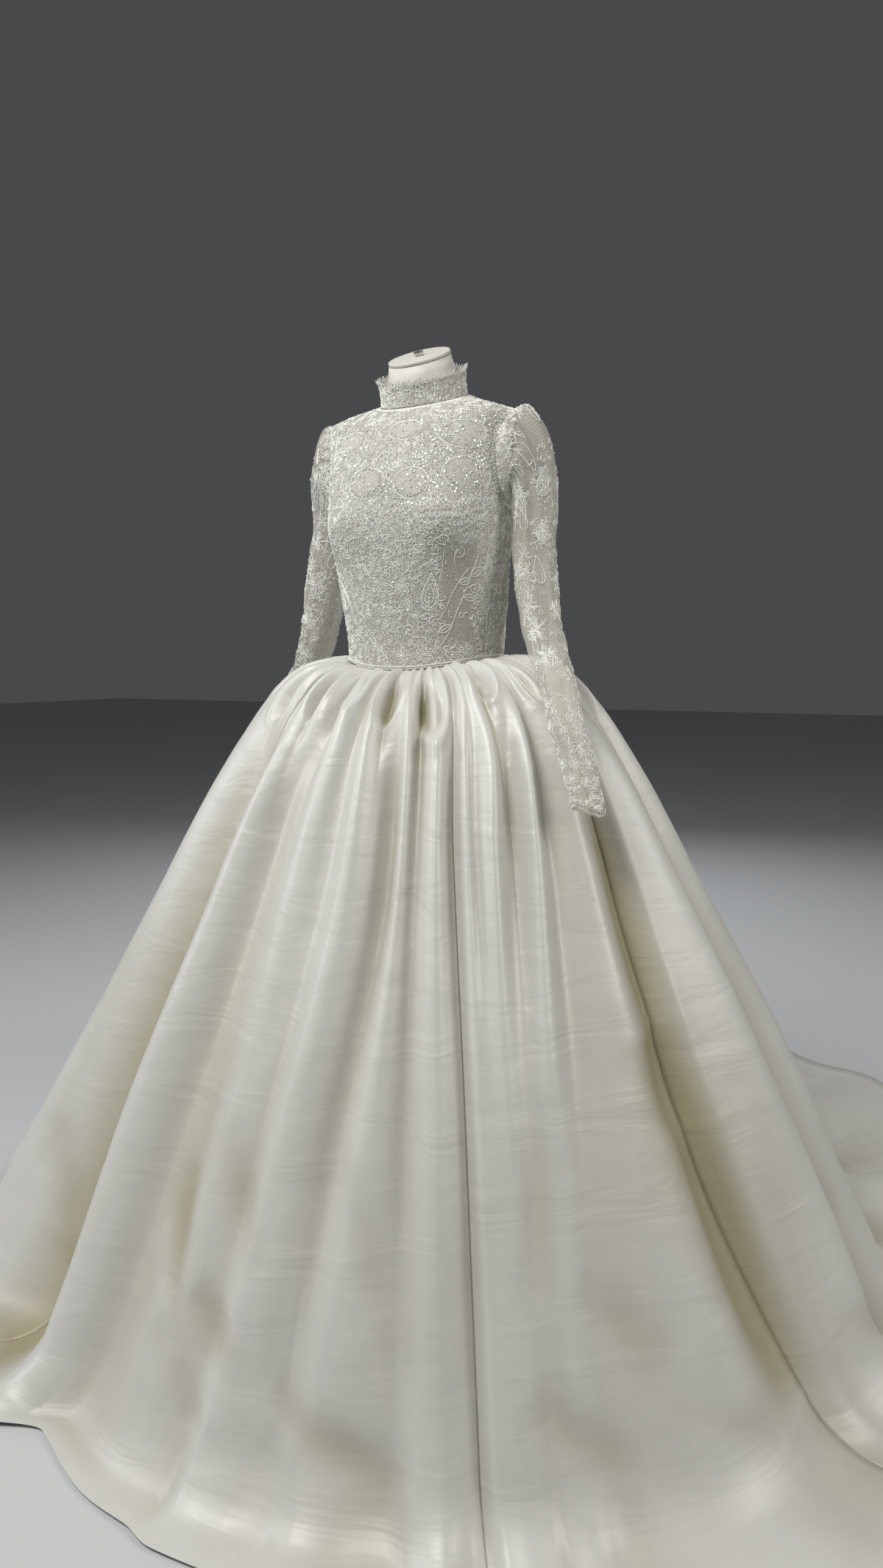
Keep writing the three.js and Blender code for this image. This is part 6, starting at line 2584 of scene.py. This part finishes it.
def front_lace(torso: RaisedTorso) -> LaceWork:
    """The bodice front's lace.

    Args:
        torso: the face that it lies on.

    Returns:
        The lace.
    """
    work = LaceWork("bodice_front_lace", torso, Slot.LACE, 5)
    for u, v, half_width, half_height, turn in MEDALLIONS:
        work.place(medallion(half_width, half_height).turned(turn), u, v)
    for line, width in STEMS:
        work.trail(line, width)
    for k, (u, v, radius) in enumerate(FRONT_FLOWERS):
        work.place(flower(radius, 5 + k % 3).turned(work.rng.uniform(0, 60)), u, v)
    work.sprigs(FRONT_SPRIGS)
    work.wander(work.scatter(1560, (-89.6, 0.03), (89.6, 10.95), torso.density), 13, 2.3)
    work.seam_cords([[u, 0.07] for u in np.linspace(-89.7, 89.7, 40)])
    work.seam_cords([[u, 10.93] for u in np.linspace(-89.7, 89.7, 40)])
    edge = np.arange(20, 84, 0.8)
    work.fringe(np.stack([edge, smooth_curve(edge, EDGE_U, EDGE_V) - 0.02], -1), 9.0, 0.4)
    band = np.arange(14, 84, 1.1)
    work.fringe(np.stack([band, smooth_curve(band, BAND_U, BAND_V) - 0.02], -1), 7.0, 0.4)
    work.scatter_beads(1300, (-89.6, 0.05), (89.6, 10.9), torso.density, 1.05, 0.25)
    work.scatter_sequins(640, (-80, 4.4), (89, 10.8), sparkle, 1.7)
    work.scatter_sequins(90, (-89, 0.3), (89, 4.4), torso.density, 1.3)
    return work


def back_lace(torso: RaisedTorso, side: int) -> LaceWork:
    """A bodice back's lace, much like the front's.

    Args:
        torso: the face that it lies on.
        side: 1 for the left back and -1 for the right one.

    Returns:
        The lace.
    """
    label = "left" if side > 0 else "right"
    work = LaceWork(f"bodice_back_{label}_lace", torso, Slot.LACE, 21 + side)
    for u, v, radius in BACK_FLOWERS:
        work.place(flower(radius, 6).turned(work.rng.uniform(0, 60)), side * u, v)
    work.sprigs(BACK_SPRIGS, side)
    low, high = (90.6, 178.8) if side > 0 else (-178.8, -90.6)
    work.wander(work.scatter(620, (low, 0.03), (high, 10.95), torso.density), 13, 2.3)
    work.seam_cords([[u, 0.07] for u in np.linspace(low, high, 24)])
    work.seam_cords([[u, 10.93] for u in np.linspace(low, high, 24)])
    work.scatter_beads(260, (low, 0.05), (high, 10.9), torso.density, 1.0)
    work.scatter_sequins(90, (low, 4), (high, 10.8), torso.density, 1.6)
    return work


def collar_lace(collar: Collar) -> LaceWork:
    """The collar's lace: close cords, small flowers and beads.

    Args:
        collar: the face that it lies on.

    Returns:
        The lace.
    """
    work = LaceWork("collar_lace", collar, Slot.LACE, 31)
    for k, u in enumerate(np.arange(-168, 170, 24)):
        work.place(flower(8.5 + k % 2, 5 + k % 2).turned(work.rng.uniform(0, 60)), float(u), 14 + 7 * (k % 2))
    work.wander(work.scatter(430, (-178, 1.6), (178, 35), even), 11, 1.9, 0.6)
    work.scatter_beads(210, (-178, 1.6), (178, 35), even, 0.95)
    work.scatter_sequins(70, (-178, 2), (178, 34), even, 1.4)
    return work


@dataclass(frozen=True)
class Blob:
    """A patch of lace on a sleeve: its middle, how far it spreads over u and v, and how thick it lies."""

    u: float
    v: float
    wide: float
    tall: float
    thick: float


LEFT_BLOBS = [
    Blob(134, 3.25, 20, 0.75, 0.9), Blob(132, 4.75, 28, 0.6, 1.0), Blob(165, 0.5, 52, 0.8, 1.0),
    Blob(208, 1.6, 40, 1.1, 1.0), Blob(196, 3.6, 14, 0.8, 0.4), Blob(196, 5.7, 22, 0.7, 0.95),
    Blob(180, 6.8, 22, 0.7, 0.9), Blob(166, 7.6, 24, 0.7, 0.9), Blob(150, 8.7, 30, 0.8, 0.9),
    Blob(80, 6.2, 24, 0.6, 0.6), Blob(100, 7.1, 20, 0.5, 0.6), Blob(60, 3.6, 30, 0.9, 0.8),
    Blob(20, 5.2, 34, 0.9, 0.8), Blob(330, 3.0, 30, 0.8, 0.7), Blob(300, 6.0, 34, 1.0, 0.7),
    Blob(90, 0.9, 26, 0.45, 0.7), Blob(30, 8.2, 34, 0.9, 0.7),
]
RIGHT_BLOBS = [
    Blob(350, 0.8, 40, 0.8, 1.0), Blob(335, 1.9, 40, 0.8, 1.0), Blob(320, 2.8, 30, 0.7, 0.8),
    Blob(358, 4.6, 26, 0.6, 0.6), Blob(344, 5.85, 34, 0.75, 1.0), Blob(354, 7.1, 30, 0.7, 0.9),
    Blob(352, 8.4, 32, 0.8, 0.9), Blob(44, 5.6, 26, 0.8, 0.6), Blob(80, 3.2, 30, 0.8, 0.8),
    Blob(120, 5.0, 34, 0.9, 0.8), Blob(180, 3.4, 34, 0.9, 0.7), Blob(220, 6.2, 34, 1.0, 0.7),
    Blob(90, 0.9, 26, 0.45, 0.7), Blob(110, 7.8, 30, 0.8, 0.7), Blob(285, 4.2, 26, 0.8, 0.5),
]


# Long bead loops on the sleeves, as u, v, half-width, length and turn.
LOOPS = {
    1: [(166, 1.9, 11, 44, 180), (146, 5.75, 12, 46, 182), (188, 4.35, 9, 32, 190), (76, 6.3, 8, 30, 176)],
    -1: [(20, 3.2, 9, 36, 184), (66, 4.6, 10, 40, 180), (150, 5.8, 11, 42, 180), (310, 5.0, 9, 34, 176)],
}


def sleeve_lace(name: str, sleeve: Sleeve, blobs: list[Blob], seed: int) -> LaceWork:
    """A sleeve's lace: coral bursts, flowers and drops in patches, thick at the cuff.

    Args:
        name: the piece's name.
        sleeve: the sleeve.
        blobs: its patches.
        seed: for its draws.

    Returns:
        The lace.
    """
    work = LaceWork(name, sleeve, Slot.TULLE, seed)

    def density(u: Array, v: Array, points: Array) -> Array:
        """How thick the cords lie: most in the patches and at the cuff.

        Args:
            u: places across the face.
            v: places along it.
            points: the points in millimetres; not used.

        Returns:
            From 0 to 1.
        """
        thick = np.interp(v, [0, 8.8, 10.5, 12.5, 14], [0.02, 0.04, 0.5, 0.95, 1.0])
        for blob in blobs:
            apart = angle_between(u, blob.u)
            near = blob.thick * np.exp(-((apart / blob.wide) ** 2) - ((v - blob.v) / blob.tall) ** 2)
            thick = np.maximum(thick, near)
        return thick

    for k, blob in enumerate(blobs):
        size = 13 + 9 * blob.thick * blob.tall
        turn = float(work.rng.uniform(0, 360))
        work.place(coral(size * 1.1, 11, work.rng), blob.u, blob.v)
        for _ in range(int(1 + 4 * blob.thick * blob.tall)):
            spot_u = blob.u + work.rng.normal(0, 0.55) * blob.wide
            spot_v = max(0.4, blob.v + work.rng.normal(0, 0.5) * blob.tall)
            work.place(coral(size * work.rng.uniform(0.5, 0.8), 8, work.rng), spot_u, spot_v)
        kind = k % 4
        if kind == 1:
            work.place(flower(size * 0.75, 7).turned(turn), blob.u, blob.v)
        elif kind == 0:
            work.place(paisley(size * 2.3).turned(180 + 12 * math.sin(turn)), blob.u, blob.v)
        elif kind == 2:
            work.place(frond(size * 1.7, 7).turned(turn), blob.u, blob.v)
        else:
            drop = teardrop(size * 0.42, size * 1.7, size * 0.16, 26) * [1, -1]
            work.place(Motif([(drop, 0.5)], [(x, y, 0.9) for x, y in drop[::2]]), blob.u + 14, blob.v + 0.55)
    for u, v, width, length, turn in LOOPS[sleeve.side]:
        loop = teardrop(width, length, 0.0, 30)
        beads = [(x, y, 0.85) for x, y in loop[4:-4:2]]
        work.place(Motif([(loop, 0.5)], beads).turned(turn), u, v)
    work.trail([[u, 0.14] for u in np.linspace(0, 360, 41)], 0.8)
    for k in range(22):
        work.place(flower(8.0, 5 + k % 2).turned(k * 33), 360 / 22 * k, 0.42)
    for k in range(16):
        work.place(flower(8.5, 6).turned(k * 20), 22.5 * k, 12.4 + 0.5 * (k % 2))
        if k % 2:
            work.place(leaf(17, 4).turned(180), 22.5 * k, 11.2)
    edge = sleeve.last - 0.05
    work.wander(work.scatter(800, (0, 0.08), (360, edge), density), 11, 2.2)
    work.scatter_beads(420, (0, 0.1), (360, edge), density, 0.95)
    work.scatter_sequins(50, (0, 0.36), (360, sleeve.last - 0.1), density, 1.3)
    return work


@dataclass
class Cuff:
    """What stands on and hangs from a cuff: three bead flowers on its middle line and an eyelash fringe."""

    name: str
    sleeve: Sleeve
    trims: Trims
    middle: float = 90.0
    backs: tuple = (6.0, 21.0, 36.0)
    pad_radius: float = 6.5
    pad_height: float = 2.3
    petals: int = 8
    petal_ring: float = 4.3
    dot_ring: float = 6.2
    strands: int = 110
    strand_length: float = 6.5
    strand_root: float = 0.6  # how far inside the cloth it starts

    def flowers(self) -> None:
        """Build the bead flowers."""
        sleeve = self.sleeve
        places = np.linspace(sleeve.last - 2, sleeve.last, 200)
        line = sleeve.points(np.full(200, self.middle), places)
        left = np.concatenate([[0], np.cumsum(np.linalg.norm(np.diff(line, axis=0), axis=-1))])
        beads = Studs(8)
        pads = Studs(16)
        for back in self.backs:
            v = np.array([np.interp(left[-1] - back, left, places)])
            u = np.array([self.middle])
            point = sleeve.points(u, v)[0]
            normal = sleeve.normals(u, v)[0]
            ahead = unit(sleeve.slopes(u, v)[1])[0]
            side = np.cross(normal, ahead)
            pads.add(point, normal, ahead, (self.pad_radius, self.pad_radius, self.pad_height * 0.75))
            beads.add(point + normal * (self.pad_height + 0.2), normal, ahead, (1.9, 1.9, 1.5))
            for k in range(self.petals):
                turn = k * 2 * math.pi / self.petals
                out = ahead * math.cos(turn) + side * math.sin(turn)
                beads.add(point + out * self.petal_ring + normal * 1.5, normal, out, (1.75, 1.35, 1.2))
                beads.add(point + out * self.dot_ring + normal * 0.6, normal, out, (0.8, 0.8, 0.8))
        beads.build(f"{self.name}_flower_beads", self.trims.glass, Slot.TULLE)
        pads.build(f"{self.name}_flower_pads", self.trims.padding, Slot.TULLE)

    def fringe(self, replaced: str) -> None:
        """Build the fine threads at the cuff's edge.

        Args:
            replaced: the CAD node that they stand for.
        """
        rng = np.random.default_rng(len(self.name))
        u = np.linspace(0, 360, self.strands, endpoint=False)
        end = np.full(self.strands, self.sleeve.last)
        foot = self.sleeve.points(u, end)
        along = unit(self.sleeve.slopes(u, end - 0.02)[1])
        out = self.sleeve.normals(u, end - 0.05)
        threads = Threads()
        for f, a, o in zip(foot, along, out):
            reach = self.strand_length * rng.uniform(0.7, 1.05)
            bend = o * rng.uniform(-0.5, 1.3)
            bend = bend + np.cross(a, o) * rng.uniform(-1.2, 1.2)
            line = strand(f - o * self.strand_root, a, reach, bend)
            threads.add(line, np.tile(o, (STRAND_POINTS, 1)), 0.36)
        piece = threads.build(f"{self.name}_eyelash", self.trims.fine, Slot.TULLE)
        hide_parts(replaced)


def collar_eyelash(collar: Collar, thread: bpy.types.Material) -> None:
    """Fine threads standing up from the collar's top edge.

    Args:
        collar: the collar.
        thread: the threads' material.
    """
    root = 0.7  # how far inside the cloth a thread starts
    rng = np.random.default_rng(77)
    u = np.linspace(-179, 179, 230)
    top = np.full(len(u), COLLAR_RISE[-1])
    foot = collar.points(u, top)
    out = collar.normals(u, top - 1)
    up = unit(collar.slopes(u, top - 1)[1])
    threads = Threads()
    for f, a, o in zip(foot, up, out):
        reach = rng.uniform(3.5, 11.5)
        bend = o * rng.uniform(-0.8, 4.4)
        bend = bend + np.cross(a, o) * rng.uniform(-3.6, 3.6)
        threads.add(strand(f - o * root, a, reach, bend), np.tile(o, (STRAND_POINTS, 1)), 0.5)
    piece = threads.build("collar_eyelash", thread, Slot.TULLE)
    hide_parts("collar_fringe")


def bridge_armhole(work: LaceWork, torso: RaisedTorso, sleeve: Sleeve, count: int = 150) -> None:
    """Lace loops that reach from the sleeve's head over the armhole seam onto the bodice.

    Args:
        work: the sleeve's lace, which gets the loops.
        torso: the bodice's face.
        sleeve: the sleeve.
        count: how many loops.
    """
    us, vs = np.meshgrid(sleeve.side * np.arange(58, 124, 0.5), np.arange(4.0, 10.9, 0.04))
    face = torso.points(us, vs).reshape(-1, 3)
    face_normals = torso.normals(us, vs).reshape(-1, 3)
    near = tree_of(face * [0, 1, 1])
    u = np.linspace(0, 360, count, endpoint=False)
    feet = sleeve.points(u, np.full(count, 0.2))
    normals = sleeve.normals(u, np.full(count, 0.2))
    along = unit(np.roll(feet, -1, axis=0) - np.roll(feet, 1, axis=0))
    for foot, normal, way in zip(feet, normals, along):
        up = (foot[2] - torso.armhole_z) / torso.armhole_half_height
        turn = math.atan2(up, (foot[1] - torso.armhole_y) / torso.armhole_half_width)
        reach = work.rng.uniform(1.5, 5.5)
        y = torso.armhole_y + (torso.armhole_half_width + reach) * math.cos(turn)
        z = torso.armhole_z + (torso.armhole_half_height + reach) * math.sin(turn)
        found = near.find((0.0, y, z))[1]
        tip = face[found] + face_normals[found] * 0.4
        out = unit(normal + face_normals[found])
        middle = (foot + tip) / 2 + out * 1.1
        half = way * work.rng.uniform(1.2, 2.2)
        knots = np.array([foot - half * 0.5, middle - half, tip, middle + half, foot + half * 0.5])
        t = np.linspace(0, 4, 9)
        line = np.stack([smooth_curve(t, range(5), knots[:, k]) for k in range(3)], -1)
        work.threads.add(line, np.tile(out, (9, 1)), CORD)
        work.beads.add(tip + out * 0.5, out, way, (0.95, 0.95, 0.95))


def embroider(torso: RaisedTorso, collar: Collar, sleeves: dict[int, Sleeve]) -> None:
    """Lay and build all of the lace.

    Args:
        torso: the bodice's face.
        collar: the collar.
        sleeves: the left sleeve as 1 and the right one as -1.
    """
    trims = Trims(
        thread=ThreadFinish().material(),
        fine=ThreadFinish("eyelash_thread", "#e4e2da", 0.8, 0.55).material(),
        padding=ThreadFinish("satin_stitch", "#dedcd3", 0.9, 0.42).material(),
        glass=GlossFinish("glass_seed_beads", "#f2f1ec", 0.0, 0.14, 0.6).material(),
        foil=GlossFinish("iridescent_sequins", "#ffffff", 0.45, 0.16, 0.8).material(),
    )
    left = sleeve_lace("sleeve_left_lace", sleeves[1], LEFT_BLOBS, 41)
    right = sleeve_lace("sleeve_right_lace", sleeves[-1], RIGHT_BLOBS, 43)
    bridge_armhole(left, torso, sleeves[1])
    bridge_armhole(right, torso, sleeves[-1])
    works = [front_lace(torso), back_lace(torso, 1), back_lace(torso, -1), collar_lace(collar), left, right]
    for work in works:
        work.build(trims)
    for side, label in ((1, "left"), (-1, "right")):
        cuff = Cuff(f"cuff_{label}", sleeves[side], trims)
        cuff.flowers()
        cuff.fringe(f"cuff_fringe_{label}")
    collar_eyelash(collar, trims.fine)


@dataclass
class Studio:
    """A pale floor, soft lights and the camera at the photo's view."""

    focal_pixels: float = 1450.0
    picture: tuple[int, int] = (1200, 2132)
    pitch: float = 6.73
    yaw: float = 0.8
    azimuth: float = 28.0
    height: float = 1070.0
    distance: float = 1790.0

    def floor(self) -> None:
        """A wide pale floor just under the hem."""
        floor = primitive(bpy.ops.mesh.primitive_plane_add, "studio_floor", size=40.0)
        reshape(move=(0, 0, -0.0005))
        material, shader = new_material("studio_floor_pale")
        feed(shader, {"Base Color": linear("#c4c6c8"), "Roughness": 0.8})
        floor.data.materials.append(material)

    def light(self, name: str, place: tuple, aim: tuple, size: tuple, watts: float, colour: str) -> None:
        """One soft area light.

        Args:
            name: its name.
            place: where it stands, in metres.
            aim: what it faces.
            size: its width and height in metres.
            watts: its power.
            colour: its colour as hex.
        """
        data = bpy.data.lights.new(name, "AREA")
        data.shape = "RECTANGLE"
        data.size, data.size_y = size
        data.energy = watts
        data.color = linear(colour)[:3]
        lamp = bpy.data.objects.new(name, data)
        bpy.context.scene.collection.objects.link(lamp)
        lamp.location = place
        lamp.rotation_euler = (Vector(aim) - Vector(place)).to_track_quat("-Z", "Y").to_euler()

    def camera(self) -> None:
        """The camera at the photo's place and angle."""
        turn = math.radians(self.azimuth)
        yaw = math.radians(self.yaw)
        pitch = math.radians(self.pitch)
        ahead = Vector((-math.sin(turn), math.cos(turn), 0))
        right = Vector((math.cos(turn), math.sin(turn), 0))
        level = ahead * math.cos(yaw) + right * math.sin(yaw)
        side = right * math.cos(yaw) - ahead * math.sin(yaw)
        look = level * math.cos(pitch) + Vector((0, 0, -1)) * math.sin(pitch)
        up = side.cross(look)
        data = bpy.data.cameras.new("photo_camera")
        data.sensor_fit = "VERTICAL"
        data.sensor_height = 36.0
        data.lens = self.focal_pixels / self.picture[1] * 36.0
        data.clip_end = 60.0
        camera = bpy.data.objects.new("photo_camera", data)
        bpy.context.scene.collection.objects.link(camera)
        turned = Matrix((side, up, -look)).transposed().to_4x4()
        place = Vector((self.distance * math.sin(turn), -self.distance * math.cos(turn), self.height)) * MM
        camera.matrix_world = Matrix.Translation(place) @ turned
        scene = bpy.context.scene
        scene.camera = camera
        scene.render.resolution_x, scene.render.resolution_y = self.picture

    def world(self) -> None:
        """An even grey surround."""
        world = bpy.data.worlds.new("studio_world")
        bpy.context.scene.world = world
        world.use_nodes = True
        feed(world.node_tree.nodes["Background"], {"Color": linear("#a6a8ab"), "Strength": 0.17})

    def build(self) -> None:
        """Set up the whole studio."""
        self.floor()
        self.light("top_front", (-0.35, -2.1, 3.5), (0, -0.1, 0.9), (1.3, 0.9), 88, "#fffef9")
        self.light("side_left", (-2.7, -1.7, 2.4), (0, 0, 0.7), (1.0, 1.8), 42, "#f7f8fb")
        self.light("side_right", (3.4, 0.2, 2.5), (0, 0, 0.7), (1.0, 1.8), 52, "#fffdf6")
        self.light("back_rim", (-1.2, 3.6, 2.6), (0, 0.3, 0.8), (1.6, 1.2), 45, "#f4f7fb")
        self.world()
        self.camera()
        view = bpy.context.scene.view_settings
        view.view_transform = "Standard"
        view.look = "None"
        view.exposure = 0.0


def main() -> None:
    """Dress the form."""
    logging.basicConfig(level=logging.INFO, format="%(message)s", force=True)
    satin = SatinFinish().material()
    lace = LaceGroundFinish().material()
    tulle = TulleFinish().material()
    metal = BrushedMetalFinish().material()
    torso = RaisedTorso()
    sleeves = {1: Sleeve(1, LEFT_SLEEVE, Torso()), -1: Sleeve(-1, RIGHT_SLEEVE, Torso())}
    Form(FormFinish().material(), metal).build()
    Bodice(torso, lace).build()
    Skirt(satin).build()
    collar = Collar()
    collar.build(lace)
    sleeves[1].build("sleeve_left", tulle)
    sleeves[-1].build("sleeve_right", tulle)
    Closure(satin, metal).build()
    embroider(torso, collar, sleeves)
    Studio().build()


if __name__ == "__main__":
    main()
